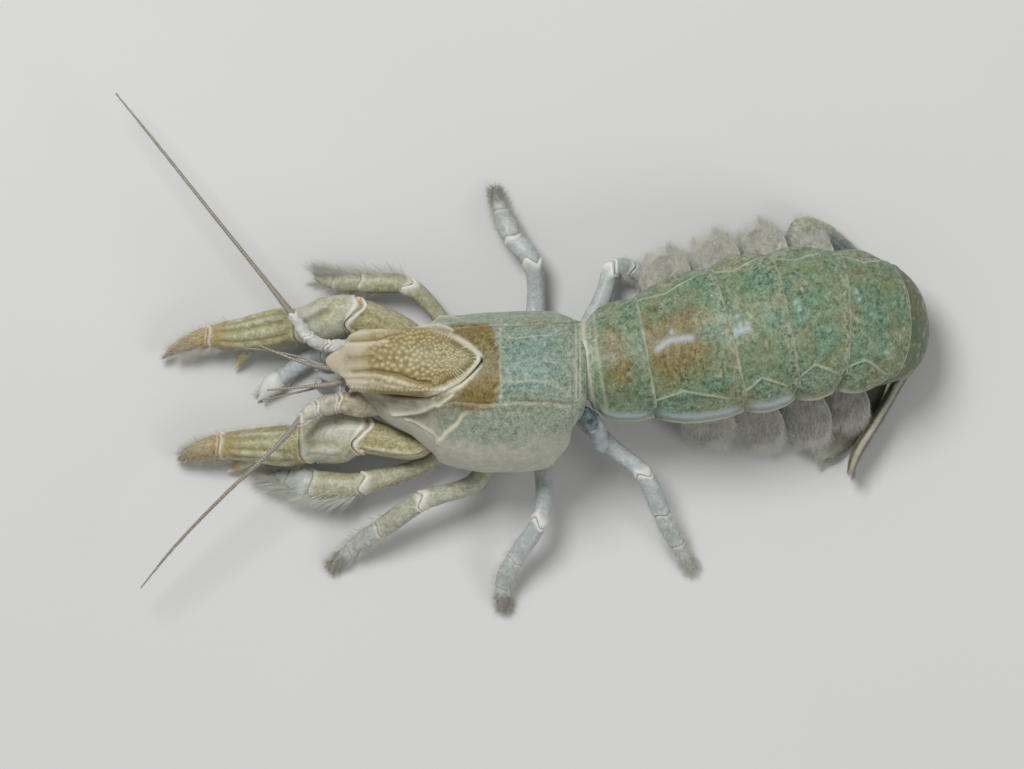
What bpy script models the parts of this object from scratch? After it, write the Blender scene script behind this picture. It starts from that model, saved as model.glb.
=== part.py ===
"""Blue mud shrimp: a still, life-size model of the animal at rest.

The head points to -X, the back to +Z and the animal's right side to +Y.
The floor is the plane z = 0. All sizes below are in millimetres.
"""

import math
import random

import bmesh
import bpy
from mathutils import Vector

MM = 0.001
GAP = 0.3
WELD = 1e-7
NAME = "blue_mud_shrimp"

# The trunk leans to its right side by this angle.
TRUNK_ROLL = 19.0

# Sections of the trunk, front to back: x, y, z of the middle, half width, half height.
TRUNK = (
    (-27.2, -1.6, 13.2, 2.4, 2.4),
    (-25.8, -2.0, 13.2, 4.2, 4.2),
    (-22.0, -3.3, 13.2, 6.6, 6.6),
    (-17.0, -3.9, 14.4, 8.6, 8.2),
    (-13.6, -4.2, 15.2, 9.8, 9.0),
    (-12.2, -4.5, 15.6, 10.8, 9.4),
    (-7.0, -4.8, 16.0, 11.7, 9.9),
    (0.0, -4.6, 16.0, 11.9, 10.0),
    (5.0, -4.2, 15.9, 11.3, 9.7),
    (8.2, -3.8, 15.7, 9.8, 9.0),
    (9.2, -3.6, 15.6, 8.8, 8.3),
)
TRUNK_FLARE = 0.25
TRUNK_SQUARE = 0.94
TRUNK_SIDES = 26
UNDERSIDE_CUT = -6.6
SLAB_WIDE = 30.0
SLAB_ENDS = (-40.0, 30.0)

# The shield on the head: x, height of its keel, half width, thickness.
SHIELD = (
    (-29.6, 17.3, 0.4, 0.9),
    (-28.6, 18.2, 1.4, 1.7),
    (-26.9, 19.3, 2.2, 2.3),
    (-26.3, 19.7, 2.5, 2.4),
    (-25.9, 20.0, 3.7, 2.5),
    (-24.0, 21.0, 4.2, 2.6),
    (-20.0, 22.8, 4.4, 2.6),
    (-16.0, 24.3, 4.8, 2.6),
    (-12.6, 25.3, 5.0, 2.6),
    (-9.8, 25.9, 4.6, 2.6),
    (-7.9, 26.1, 3.4, 2.5),
    (-6.9, 26.1, 2.0, 2.3),
    (-6.5, 26.0, 0.6, 2.0),
)
SHIELD_Y = (-0.7, -0.4)
SHIELD_DROP = 0.068
SHIELD_SQUARE = 0.6
SHIELD_LID = 12.0
SHIELD_SIDES = 18

# The abdomen's axis, from the carapace to the tail: x, y, z, half width, half height, roll.
ABDOMEN = (
    (9.6, -1.6, 15.8, 6.6, 6.9, 14.0),
    (13.0, -1.1, 16.0, 8.0, 7.5, 13.0),
    (17.3, -0.3, 16.0, 9.0, 7.7, 12.0),
    (23.5, 0.9, 16.0, 10.3, 7.9, 12.0),
    (29.7, 2.4, 15.8, 11.1, 8.0, 12.0),
    (34.0, 3.5, 15.6, 11.3, 8.0, 12.0),
    (38.1, 4.4, 15.3, 11.2, 7.9, 13.0),
    (42.2, 5.1, 14.9, 10.9, 7.7, 14.0),
    (46.2, 5.5, 14.3, 10.4, 7.4, 15.0),
    (49.8, 5.3, 13.3, 10.1, 7.2, 15.0),
    (52.8, 5.0, 11.6, 9.6, 6.7, 14.0),
    (54.9, 4.8, 9.3, 8.8, 6.0, 10.0),
    (55.6, 4.8, 6.6, 7.4, 5.2, 4.0),
)
ABDOMEN_CUTS = (2, 4, 6, 8, 10)
SEGMENT_RIM = 0.35
ABDOMEN_FLARE = 0.12
ABDOMEN_SQUARE = 0.86
ABDOMEN_SIDES = 24

# Each joint of a limb is drawn in to this share of its swellings, which lie this far off in sizes.
JOINT_PINCH = 0.8
JOINT_REACH = 0.55

# The tail fan: x, y, z, half width, half height, roll along the middle of each blade.
TELSON = (
    (56.6, 5.0, 6.6, 3.4, 1.1, 0.0),
    (56.2, 5.0, 3.8, 4.0, 1.1, 0.0),
    (53.4, 5.0, 2.2, 4.6, 1.0, 0.0),
    (48.5, 5.0, 1.1, 4.8, 0.9, 0.0),
    (45.2, 5.0, 0.7, 4.0, 0.7, 0.0),
    (44.2, 5.0, 0.6, 2.4, 0.5, 0.0),
)
UROPODS = {
    "uropod_right_outer": (
        (57.4, 9.0, 7.4, 1.0, 1.0, 0.0),
        (56.6, 11.0, 4.6, 1.3, 0.9, 0.0),
        (53.6, 13.0, 3.8, 2.6, 0.7, 0.0),
        (49.0, 15.4, 3.3, 3.7, 0.6, 0.0),
        (44.6, 17.4, 2.9, 3.5, 0.6, 0.0),
        (41.2, 19.2, 2.6, 1.4, 0.4, 0.0),
    ),
    "uropod_right_inner": (
        (52.4, 8.8, 7.0, 0.9, 0.8, 0.0),
        (51.6, 10.2, 2.4, 1.0, 0.7, 0.0),
        (50.0, 11.8, 1.4, 1.8, 0.6, 0.0),
        (47.0, 13.2, 1.2, 2.6, 0.6, 0.0),
        (43.6, 14.2, 1.0, 2.5, 0.5, 0.0),
        (41.4, 14.8, 0.9, 1.2, 0.4, 0.0),
    ),
    "uropod_left_outer": (
        (58.2, 0.8, 7.4, 1.0, 1.0, 0.0),
        (58.2, -1.0, 5.2, 0.9, 1.5, 0.0),
        (56.4, -4.2, 4.6, 0.8, 2.4, 0.0),
        (53.6, -9.2, 4.2, 0.8, 3.0, 0.0),
        (50.4, -14.4, 3.8, 0.8, 2.8, 0.0),
        (49.3, -17.6, 3.4, 0.5, 1.4, 0.0),
    ),
    "uropod_left_inner": (
        (53.8, 0.8, 7.0, 0.8, 0.9, 0.0),
        (54.4, -1.2, 3.0, 1.0, 0.9, 0.0),
        (52.6, -5.0, 2.4, 2.0, 0.7, 20.0),
        (50.0, -9.4, 2.1, 2.7, 0.6, 25.0),
        (46.6, -13.6, 1.9, 2.4, 0.5, 25.0),
        (44.4, -15.6, 1.7, 1.0, 0.4, 25.0),
    ),
}

# The swimmerets: where each is rooted and where its tip hangs, for the segments 2 to 5.
PLEOPODS_LEFT = (
    ((26.0, -5.0, 9.0), (34.0, -4.0, 8.8), (42.0, -3.0, 8.2), (48.6, -2.0, 7.6)),
    ((28.4, -12.4, 3.6), (35.6, -13.0, 3.6), (42.6, -12.6, 3.8), (48.0, -9.9, 5.0)),
)
PLEOPODS_RIGHT = (
    ((23.0, 6.0, 8.6), (31.0, 8.0, 8.4), (38.6, 10.0, 8.0), (45.0, 10.6, 7.2)),
    ((20.6, 14.6, 3.6), (27.8, 17.0, 3.6), (34.6, 18.4, 3.8), (41.0, 18.6, 4.6)),
)
PLEOPOD_SHAPE = ((0.0, 1.2), (0.3, 2.4), (0.6, 3.5), (0.86, 3.1), (1.0, 1.6))
PLEOPOD_THICK = 1.0
PLEOPOD_SAG = 0.8
PLEOPOD_ROLL = {"left": -15.0, "right": 15.0}

# Head limbs: x, y, z, half width, half height.
EYES = {
    "left": ((-24.6, -2.6, 15.6, 0.7, 0.7), (-25.6, -4.0, 15.9, 0.9, 0.9), (-26.3, -5.0, 16.0, 0.95, 0.95),
             (-26.8, -5.7, 16.0, 0.5, 0.5)),
    "right": ((-24.6, 1.0, 14.8, 0.7, 0.7), (-25.7, 2.4, 14.9, 0.9, 0.9), (-26.4, 3.3, 14.9, 0.95, 0.95),
              (-26.9, 3.9, 14.9, 0.5, 0.5)),
}
ANTENNAE = {
    "left": (
        (-23.0, -5.0, 12.4, 1.3, 1.3), (-25.4, -6.6, 12.9, 1.3, 1.3), (-27.6, -6.8, 13.2, 1.2, 1.2),
        (-30.6, -7.4, 13.3, 1.0, 1.0), (-33.2, -9.2, 13.3, 0.8, 0.8), (-37.5, -14.0, 13.3, 0.5, 0.5),
        (-44.8, -20.8, 12.6, 0.4, 0.4), (-52.2, -28.4, 10.8, 0.34, 0.34), (-57.6, -34.9, 8.6, 0.16, 0.16),
    ),
    "right": (
        (-24.0, 0.2, 12.4, 1.3, 1.3), (-27.4, 0.6, 12.9, 1.3, 1.3), (-29.6, 1.0, 13.3, 1.2, 1.2),
        (-32.0, 2.4, 13.6, 1.0, 1.0), (-34.6, 6.0, 13.6, 0.8, 0.8), (-38.9, 11.5, 13.6, 0.5, 0.5),
        (-46.6, 21.1, 13.0, 0.4, 0.4), (-54.5, 31.0, 11.2, 0.34, 0.34), (-61.35, 39.4, 8.8, 0.16, 0.16),
    ),
}
ANTENNULES = {
    "left": (
        ((-26.4, -3.6, 14.4, 0.8, 0.8), (-29.0, -4.3, 14.9, 0.75, 0.75), (-32.9, -4.7, 15.0, 0.45, 0.45),
         (-38.4, -5.2, 14.4, 0.25, 0.25)),
        ((-29.4, -4.3, 14.9, 0.5, 0.5), (-32.0, -5.1, 14.2, 0.38, 0.38), (-36.0, -6.0, 13.6, 0.3, 0.3),
         (-39.8, -6.8, 12.8, 0.2, 0.2)),
    ),
    "right": (
        ((-26.8, -1.8, 14.4, 0.8, 0.8), (-29.4, -1.9, 14.9, 0.75, 0.75), (-33.3, -1.0, 15.0, 0.45, 0.45),
         (-39.9, 1.6, 14.4, 0.25, 0.25)),
        ((-29.8, -1.8, 14.9, 0.5, 0.5), (-33.0, -0.4, 14.0, 0.38, 0.38), (-37.6, 0.6, 13.4, 0.3, 0.3),
         (-41.8, 1.1, 12.6, 0.2, 0.2)),
    ),
}
MAXILLIPEDS = {
    "left": ((-20.0, -6.4, 7.6, 1.2, 1.2), (-24.5, -6.2, 5.2, 1.2, 1.3), (-28.2, -5.6, 4.4, 1.1, 1.2),
             (-30.2, -4.7, 6.4, 1.0, 1.1), (-30.8, -4.0, 8.6, 0.5, 0.6)),
    "right": ((-20.0, -1.6, 7.2, 1.2, 1.2), (-24.5, -1.2, 5.2, 1.2, 1.2), (-28.0, -1.6, 4.7, 1.1, 1.1),
              (-29.8, -1.7, 6.6, 1.0, 1.1), (-30.6, -1.6, 8.6, 0.5, 0.6)),
}

# Claws, from the trunk to the fingertip: x, y, z, half width, half height, roll.
CLAWS = {
    "left": (
        (-13.0, -9.5, 8.2, 1.6, 1.8, 0.0), (-16.0, -13.8, 8.6, 1.7, 2.2, 0.0),
        (-23.9, -12.0, 7.6, 2.9, 3.2, 0.0), (-28.0, -12.2, 6.6, 4.0, 3.9, 0.0),
        (-32.9, -13.4, 5.4, 2.7, 2.9, 0.0), (-36.0, -13.6, 4.6, 3.1, 3.8, 0.0),
        (-41.0, -13.5, 3.9, 2.5, 3.6, 0.0), (-45.6, -13.7, 3.4, 1.75, 2.2, 0.0),
        (-49.0, -14.2, 2.7, 1.2, 1.4, 0.0), (-52.05, -14.9, 1.6, 0.3, 0.35, 0.0),
    ),
    "right": (
        (-14.6, -1.0, 7.2, 1.6, 1.7, 0.0), (-17.6, 3.4, 7.4, 2.0, 2.1, 0.0),
        (-25.2, 6.0, 7.0, 2.8, 3.1, 0.0), (-29.0, 5.6, 6.4, 3.4, 3.8, 0.0),
        (-33.8, 4.5, 5.4, 2.6, 2.9, 0.0), (-37.2, 4.1, 4.6, 3.0, 3.8, 0.0),
        (-42.6, 3.2, 3.9, 2.5, 3.6, 0.0), (-47.3, 2.6, 3.4, 1.5, 2.2, 0.0),
        (-51.0, 1.4, 2.7, 1.1, 1.4, 0.0), (-54.5, -0.2, 1.6, 0.3, 0.35, 0.0),
    ),
}

# Walking legs, from the trunk to the tip: root, below the flank, knee, ankle, foot, tip.
LEGS = {
    "left_2": ((-10.6, -8.0, 4.8, 1.2, 1.2), (-13.4, -15.4, 4.4, 1.2, 1.3), (-24.2, -19.2, 5.2, 1.8, 1.8),
               (-31.6, -19.5, 4.0, 2.0, 2.0), (-35.2, -18.6, 2.4, 1.5, 1.4), (-38.6, -18.0, 0.6, 0.4, 0.6)),
    "left_3": ((-5.0, -8.0, 5.6, 1.4, 1.4), (-6.8, -18.4, 6.4, 1.4, 1.4), (-15.2, -21.8, 7.6, 1.6, 1.6),
               (-21.4, -26.0, 4.8, 1.4, 1.4), (-26.0, -29.2, 2.2, 1.2, 1.2), (-29.4, -32.4, 0.2, 0.6, 0.6)),
    "left_4": ((1.6, -8.0, 5.6, 1.3, 1.3), (3.0, -18.2, 6.8, 1.35, 1.35), (2.3, -24.8, 7.8, 1.4, 1.4),
               (-1.2, -30.4, 4.8, 1.25, 1.25), (-3.2, -34.6, 2.2, 1.2, 1.2), (-2.8, -38.6, 0.2, 0.7, 0.6)),
    "left_5": ((6.0, -6.6, 7.2, 1.2, 1.2), (12.8, -13.4, 8.2, 1.3, 1.3), (17.8, -17.6, 8.4, 1.4, 1.4),
               (20.6, -23.4, 5.4, 1.25, 1.25), (23.0, -28.2, 2.6, 1.2, 1.2), (25.8, -33.0, 0.2, 0.7, 0.6)),
    "right_2": ((-10.6, 0.4, 5.2, 1.2, 1.2), (-12.6, 5.6, 4.2, 1.2, 1.2), (-17.4, 10.4, 5.0, 1.5, 1.5),
                (-24.4, 10.9, 4.0, 1.35, 1.4), (-28.4, 11.0, 2.6, 1.1, 1.1), (-31.6, 11.8, 0.3, 0.5, 0.6)),
    "right_3": ((-7.0, -4.0, 6.0, 1.3, 1.3), (-14.0, -0.8, 2.2, 1.3, 1.2), (-22.0, 1.6, 1.9, 1.3, 1.3),
                (-30.4, 0.4, 1.7, 1.2, 1.2), (-36.6, -3.2, 1.4, 1.1, 1.0), (-40.2, -6.8, 0.5, 0.6, 0.6)),
    "right_4": ((0.6, -2.0, 5.2, 1.3, 1.3), (1.8, 7.4, 3.8, 1.4, 1.4), (1.2, 14.2, 5.2, 1.5, 1.5),
                (-1.6, 17.6, 4.2, 1.4, 1.4), (-3.4, 21.6, 2.4, 1.2, 1.2), (-4.5, 25.4, 0.2, 0.6, 0.6)),
    "right_5": ((6.0, -2.0, 7.2, 1.2, 1.2), (11.4, 7.6, 5.2, 1.4, 1.4), (13.2, 12.8, 4.4, 1.4, 1.4),
                (15.8, 13.2, 2.8, 1.25, 1.25), (18.6, 11.6, 1.4, 1.1, 1.1), (21.4, 9.4, 0.3, 0.6, 0.5)),
}

# A lock of bristles: share of its length, share of its width, from the sunk root to the tip.
LOCK_SHAPE = ((-0.25, 0.75), (0.3, 1.0), (0.68, 0.72), (1.0, 0.0))
LOCK_THICK = 0.55
LOCK_BEND = 0.34
LOCK_ROOT = 0.6
LOCK_TURN = 10.0
LOCK_LEAN = (0.8, 1.15)
LOCK_REACH = (0.85, 1.15)
FLOOR_CLEAR = 0.12

# Fringes: where along its length each begins and ends, how many locks, their length and width,
# and the directions round the limb that they take in turn, from the top towards +across.
FOOT = (0.97, 0.99, 3, 1.8, 1.2, (30, 90, 270))
FRINGES = {
    "leg_left_2_lower": (
        (0.04, 0.98, 15, 3.6, 1.7, (80, 265, 110)),
        (0.96, 0.99, 3, 4.4, 1.5, (60, 110, 290)),
    ),
    "leg_left_3_lower": ((0.30, 0.97, 12, 2.5, 1.5, (270, 95, 285)), FOOT),
    "leg_left_4_lower": ((0.34, 0.97, 12, 2.4, 1.5, (270, 90)), FOOT),
    "leg_left_5_lower": ((0.40, 0.97, 12, 2.4, 1.5, (270, 90)), FOOT),
    "leg_right_2_lower": (
        (0.08, 0.98, 13, 3.2, 1.6, (280, 85, 255)),
        (0.96, 0.99, 3, 3.4, 1.4, (300, 60, 250)),
    ),
    "leg_right_3_lower": ((0.62, 0.97, 8, 2.4, 1.5, (90, 270)), FOOT),
    "leg_right_4_lower": ((0.30, 0.97, 12, 2.4, 1.5, (270, 90)), FOOT),
    "leg_right_5_lower": ((0.40, 0.97, 8, 2.0, 1.3, (270, 90)), (0.97, 0.99, 2, 1.6, 1.1, (60, 300))),
    "claw_left_palm": ((0.20, 0.80, 7, 2.2, 1.6, (115,)),),
    "claw_left_finger": ((0.24, 0.92, 8, 2.0, 1.3, (105, 265)),),
    "claw_right_palm": ((0.20, 0.80, 7, 2.2, 1.6, (270,)),),
    "claw_right_finger": ((0.2, 0.92, 7, 1.9, 1.3, (275, 255)),),
    "maxilliped_left": ((0.60, 0.97, 5, 1.8, 1.3, (180,)),),
    "maxilliped_right": ((0.60, 0.97, 5, 1.8, 1.3, (180,)),),
    "telson": ((0.95, 0.99, 5, 1.5, 1.6, (90, 60, 0, 300, 270)),),
    "uropod_right_outer": ((0.40, 0.98, 10, 1.7, 1.8, (90, 270)),),
    "uropod_right_inner": ((0.50, 0.98, 8, 1.4, 1.6, (90, 270)),),
    "uropod_left_outer": ((0.40, 0.98, 10, 1.6, 1.8, (0, 180)),),
    "uropod_left_inner": ((0.50, 0.98, 8, 1.4, 1.6, (90, 270)),),
}
PLEOPOD_FRINGE = ((0.40, 0.98, 8, 2.3, 2.1, (90, 270)), (0.97, 0.99, 3, 2.0, 1.6, (60, 300, 0)))

# Spurs: the point each grows from, its tip and its radius.
SPUR_SIDES = 5
SPURS = {
    "claw_left_palm": (((-42.0, -15.4, 2.6), (-45.3, -18.2, 1.3), 1.1),),
    "claw_right_palm": (((-42.8, 1.4, 2.6), (-44.6, -1.8, 1.3), 1.1),),
    "claw_left_wrist": (
        ((-31.4, -9.6, 7.2), (-34.6, -7.4, 8.2), 0.9),
        ((-29.6, -14.8, 6.6), (-31.6, -17.2, 6.4), 0.8),
    ),
    "claw_right_wrist": (
        ((-31.8, 3.4, 7.2), (-34.4, 1.0, 8.0), 0.9),
        ((-30.0, 7.6, 6.6), (-32.0, 9.8, 6.4), 0.8),
    ),
}

# Tubercles along the shield's edges: the rows as shares of its width, step, radius, height, depth.
TUBERCLE_ROWS = (-0.84, 0.84)
TUBERCLE_STEP = 1.9
TUBERCLE_RADIUS = 0.75
TUBERCLE_HEIGHT = 0.8
TUBERCLE_DEPTH = 0.5

# Ridges along each blade of the tail fan: their places across it and how far they stand out.
RIDGE_SHARES = (-0.4, 0.35)
RIDGE_RISE = 0.35

# Colours of the plain materials.
SHELL_GREEN = (0.20, 0.24, 0.13)
SHELL_OCHRE = (0.36, 0.26, 0.10)
FLANK_GREY = (0.40, 0.42, 0.36)
CLAW_OLIVE = (0.33, 0.33, 0.15)
LIMB_PALE = (0.50, 0.54, 0.54)
FAN_BLUE = (0.25, 0.31, 0.34)
FRINGE_GREY = (0.55, 0.56, 0.52)
FEELER_TAUPE = (0.30, 0.26, 0.22)
CORNEA_DARK = (0.05, 0.02, 0.05)


def frames(stations):
    """At each station its middle and the directions along, across and up, after its roll."""
    out = []
    last = len(stations) - 1
    up = Vector((0, 0, 1))
    for i, station in enumerate(stations):
        along = Vector(stations[min(i + 1, last)][:3]) - Vector(stations[max(i - 1, 0)][:3])
        along.normalize()
        across = up.cross(along).normalized()
        above = along.cross(across)
        if len(station) > 5:
            turn = math.radians(station[5])
            across, above = (
                across * math.cos(turn) - above * math.sin(turn),
                above * math.cos(turn) + across * math.sin(turn),
            )
        out.append((Vector(station[:3]), along, across, above))
    return out


def ring(frame, half_width, half_height, sides, flare=0.0, power=1.0):
    """The points of one closed section, from the top towards +across."""
    middle, _, across, above = frame
    points = []
    for i in range(sides):
        turn = 2 * math.pi * i / sides
        high = math.copysign(abs(math.cos(turn)) ** power, math.cos(turn))
        wide = math.copysign(abs(math.sin(turn)) ** power, math.sin(turn))
        wide *= 1 - flare * math.cos(turn)
        points.append(middle + across * (half_width * wide) + above * (half_height * high))
    return points


def face_outwards(bm):
    """Turns every face of a closed bmesh outwards."""
    bmesh.ops.recalc_face_normals(bm, faces=bm.faces[:])
    if bm.calc_volume(signed=True) < 0:
        bmesh.ops.reverse_faces(bm, faces=bm.faces[:])


def skinned(rings):
    """A closed bmesh through the rings, a grid rolled into a tube, in metres."""
    sides = len(rings[0])
    bm = bmesh.new()
    bmesh.ops.create_grid(bm, x_segments=sides, y_segments=len(rings) - 1, size=1.0)
    bm.verts.ensure_lookup_table()
    for j, points in enumerate(rings):
        for i in range(sides + 1):
            bm.verts[j * (sides + 1) + i].co = points[i % sides] * MM
    bmesh.ops.remove_doubles(bm, verts=bm.verts[:], dist=WELD)
    rims = [edge for edge in bm.edges if edge.is_boundary]
    if rims:
        bmesh.ops.holes_fill(bm, edges=rims, sides=0)
    face_outwards(bm)
    return bm


def plain_material(name, colour, roughness=0.5):
    """A Principled material of one colour."""
    material = bpy.data.materials.new(name)
    material.use_nodes = True
    shader = material.node_tree.nodes["Principled BSDF"]
    shader.inputs["Base Color"].default_value = (*colour, 1.0)
    shader.inputs["Roughness"].default_value = roughness
    shader.inputs["Metallic"].default_value = 0.0
    material.diffuse_color = (*colour, 1.0)
    return material


def place(name, bm, colour, collection, roughness=0.5):
    """The bmesh as a named object of the collection, with its own material."""
    mesh = bpy.data.meshes.new(name)
    bm.to_mesh(mesh)
    bm.free()
    item = bpy.data.objects.new(name, mesh)
    collection.objects.link(item)
    mesh.materials.append(plain_material(name + "_finish", colour, roughness))
    mesh.shade_smooth()
    mesh.set_sharp_from_angle(angle=math.radians(40))
    return item


def cutter(name, bm, collection):
    """The bmesh as a guide that other pieces are cut with."""
    mesh = bpy.data.meshes.new(name)
    bm.to_mesh(mesh)
    bm.free()
    item = bpy.data.objects.new(name, mesh)
    collection.objects.link(item)
    item.hide_render = True
    item.display_type = "WIRE"
    return item


def volume_of(faces):
    """The volume inside a closed set of faces."""
    total = 0.0
    for face in faces:
        first = face.verts[0].co
        for one, two in zip(face.verts[1:], face.verts[2:]):
            total += first.dot(one.co.cross(two.co)) / 6
    return abs(total)


def keep_largest(mesh):
    """Removes every closed surface of the mesh but the largest."""
    bm = bmesh.new()
    bm.from_mesh(mesh)
    left = set(bm.faces)
    islands = []
    while left:
        island, reached = set(), [next(iter(left))]
        while reached:
            face = reached.pop()
            if face in island:
                continue
            island.add(face)
            reached.extend(other for edge in face.edges for other in edge.link_faces)
        left -= island
        islands.append(island)
    islands.sort(key=volume_of)
    spare = [face for island in islands[:-1] for face in island]
    if spare:
        bmesh.ops.delete(bm, geom=spare, context="FACES")
        loose = [vert for vert in bm.verts if not vert.link_faces]
        bmesh.ops.delete(bm, geom=loose, context="VERTS")
    bm.to_mesh(mesh)
    bm.free()


def apply_all(item):
    """The item's mesh as its modifiers leave it, with only the largest closed surface kept."""
    depsgraph = bpy.context.evaluated_depsgraph_get()
    made = bpy.data.meshes.new_from_object(item.evaluated_get(depsgraph))
    item.modifiers.clear()
    old = item.data
    item.data = made
    bpy.data.meshes.remove(old)
    keep_largest(item.data)


def cut_by(item, *guides, operation="DIFFERENCE"):
    """Cuts the item by each guide in turn."""
    for guide in guides:
        modifier = item.modifiers.new("cut", "BOOLEAN")
        modifier.operation = operation
        modifier.solver = "EXACT"
        modifier.object = guide
    apply_all(item)


def rest_on_floor(item):
    """Takes off what is below the floor and closes the flat that this leaves."""
    bm = bmesh.new()
    bm.from_mesh(item.data)
    geometry = bm.verts[:] + bm.edges[:] + bm.faces[:]
    bmesh.ops.bisect_plane(
        bm, geom=geometry, dist=WELD, plane_co=(0, 0, 0), plane_no=(0, 0, 1), clear_inner=True
    )
    rims = [edge for edge in bm.edges if edge.is_boundary]
    if rims:
        bmesh.ops.holes_fill(bm, edges=rims, sides=0)
    face_outwards(bm)
    bm.to_mesh(item.data)
    bm.free()


def trunk_rings(grown=0.0):
    """The trunk's sections, each larger by what is grown."""
    stations = [(*station, TRUNK_ROLL) for station in TRUNK]
    if grown:
        first, last = stations[0], stations[-1]
        stations[0] = (first[0] - grown, *first[1:])
        stations[-1] = (last[0] + grown, *last[1:])
    rings = []
    for station, frame in zip(stations, frames(stations)):
        frame = (frame[0], Vector((1, 0, 0)), *upright(TRUNK_ROLL))
        wide, high = station[3] + grown, station[4] + grown
        rings.append(ring(frame, wide, high, TRUNK_SIDES, TRUNK_FLARE, TRUNK_SQUARE))
    return rings


def upright(roll):
    """Across and above for a section square to X that leans by the roll."""
    turn = math.radians(roll)
    across = Vector((0, math.cos(turn), -math.sin(turn)))
    above = Vector((0, math.sin(turn), math.cos(turn)))
    return across, above


def shield_rings(grown=0.0, lid=0.0):
    """The shield's sections. A lid raises their upper side, for the guide that seats the shield."""
    across, above = upright(TRUNK_ROLL)
    first, last = SHIELD[0][0], SHIELD[-1][0]
    rings = []
    for i, (x, keel, half_width, thickness) in enumerate(SHIELD):
        share = (x - first) / (last - first)
        y = SHIELD_Y[0] + (SHIELD_Y[1] - SHIELD_Y[0]) * share
        x += grown * ((i == len(SHIELD) - 1) - (i == 0))
        points = []
        for k in range(SHIELD_SIDES):
            turn = 2 * math.pi * k / SHIELD_SIDES
            out = (half_width + grown) * math.sin(turn)
            level = -SHIELD_DROP * out**2 - thickness / 2
            half = thickness / 2 + (lid if math.cos(turn) > 0 else grown)
            level += half * math.copysign(abs(math.cos(turn)) ** SHIELD_SQUARE, math.cos(turn))
            points.append(Vector((x, y, keel)) + across * out + above * level)
        rings.append(points)
    return rings


def trunk(parts, guides):
    """The carapace with the shield's seat cut in it, the shield, and the underside between the legs."""
    seat = cutter("shield_seat", skinned(shield_rings(GAP, lid=SHIELD_LID)), guides)
    below = cutter("below_carapace", skinned(slab_rings(UNDERSIDE_CUT)), guides)
    low = cutter("underside_space", skinned(slab_rings(UNDERSIDE_CUT - GAP)), guides)
    carapace = place("carapace", skinned(trunk_rings()), FLANK_GREY, parts)
    cut_by(carapace, seat, below)
    underside = place("thorax_underside", skinned(trunk_rings()), LIMB_PALE, parts)
    cut_by(underside, low, operation="INTERSECT")
    shield = place("head_shield", skinned(shield_rings()), SHELL_OCHRE, parts)
    joined(shield, "head_shield", tubercles())


def tubercles():
    """Blunt cones in a row along each edge of the shield."""
    across, above = upright(TRUNK_ROLL)
    first, last = SHIELD[0][0], SHIELD[-1][0]
    cones = []
    for row in TUBERCLE_ROWS:
        x = SHIELD[4][0] + TUBERCLE_STEP
        while x < SHIELD[-3][0]:
            low = max(i for i, station in enumerate(SHIELD) if station[0] <= x)
            part = (x - SHIELD[low][0]) / (SHIELD[low + 1][0] - SHIELD[low][0])
            keel, half_width = (SHIELD[low][k] + (SHIELD[low + 1][k] - SHIELD[low][k]) * part for k in (1, 2))
            y = SHIELD_Y[0] + (SHIELD_Y[1] - SHIELD_Y[0]) * (x - first) / (last - first)
            out = half_width * row
            skin = Vector((x, y, keel)) + across * out - above * (SHIELD_DROP * out**2 + TUBERCLE_DEPTH)
            lean = (above + across * (row / 2)).normalized()
            base, tip = skin - lean * TUBERCLE_DEPTH, skin + lean * TUBERCLE_HEIGHT
            cones.append(spur(base, tip, TUBERCLE_RADIUS))
            x += TUBERCLE_STEP
    return cones


def slab_rings(level):
    """A block as long as the trunk, below the given level of its sections."""
    across, above = upright(TRUNK_ROLL)
    middle = Vector((0, TRUNK[7][1], TRUNK[7][2]))
    low = level - SLAB_WIDE
    corners = ((-SLAB_WIDE, level), (SLAB_WIDE, level), (SLAB_WIDE, low), (-SLAB_WIDE, low))
    return [
        [middle + Vector((x, 0, 0)) + across * side + above * high for side, high in corners]
        for x in SLAB_ENDS
    ]


def abdomen(parts, near_trunk):
    """Six ring-shaped segments, each with a rim that stands over the next one."""
    stations = list(ABDOMEN)
    spans = frames(stations)
    bounds = (0, *ABDOMEN_CUTS, len(stations) - 1)
    for number, (start, end) in enumerate(zip(bounds, bounds[1:]), start=1):
        rings = []
        for i in range(start, end + 1):
            middle, along, across, above = spans[i]
            wide, high = stations[i][3], stations[i][4]
            if i == start and start:
                middle = middle + along * (GAP / 2)
                wide, high = wide - SEGMENT_RIM, high - SEGMENT_RIM
            if i == end and end < len(stations) - 1:
                middle = middle - along * (GAP / 2)
                wide, high = wide + SEGMENT_RIM, high + SEGMENT_RIM
            frame = (middle, along, across, above)
            rings.append(ring(frame, wide, high, ABDOMEN_SIDES, ABDOMEN_FLARE, ABDOMEN_SQUARE))
        colour = SHELL_OCHRE if number == 6 else SHELL_GREEN
        segment = place(f"abdomen_{number}", skinned(rings), colour, parts)
        if number == 1:
            cut_by(segment, near_trunk)


def abdomen_rings(grown):
    """The whole abdomen as one form, larger by what is grown, to cut what grows from it."""
    rings = []
    last = len(ABDOMEN) - 1
    for i, (station, frame) in enumerate(zip(ABDOMEN, frames(ABDOMEN))):
        rim = SEGMENT_RIM if i < last else 0.0
        middle = frame[0] + frame[1] * (grown if i == last else 0.0)
        wide, high = station[3] + rim + grown, station[4] + rim + grown
        rings.append(ring((middle, *frame[1:]), wide, high, ABDOMEN_SIDES, ABDOMEN_FLARE, ABDOMEN_SQUARE))
    return rings


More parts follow.
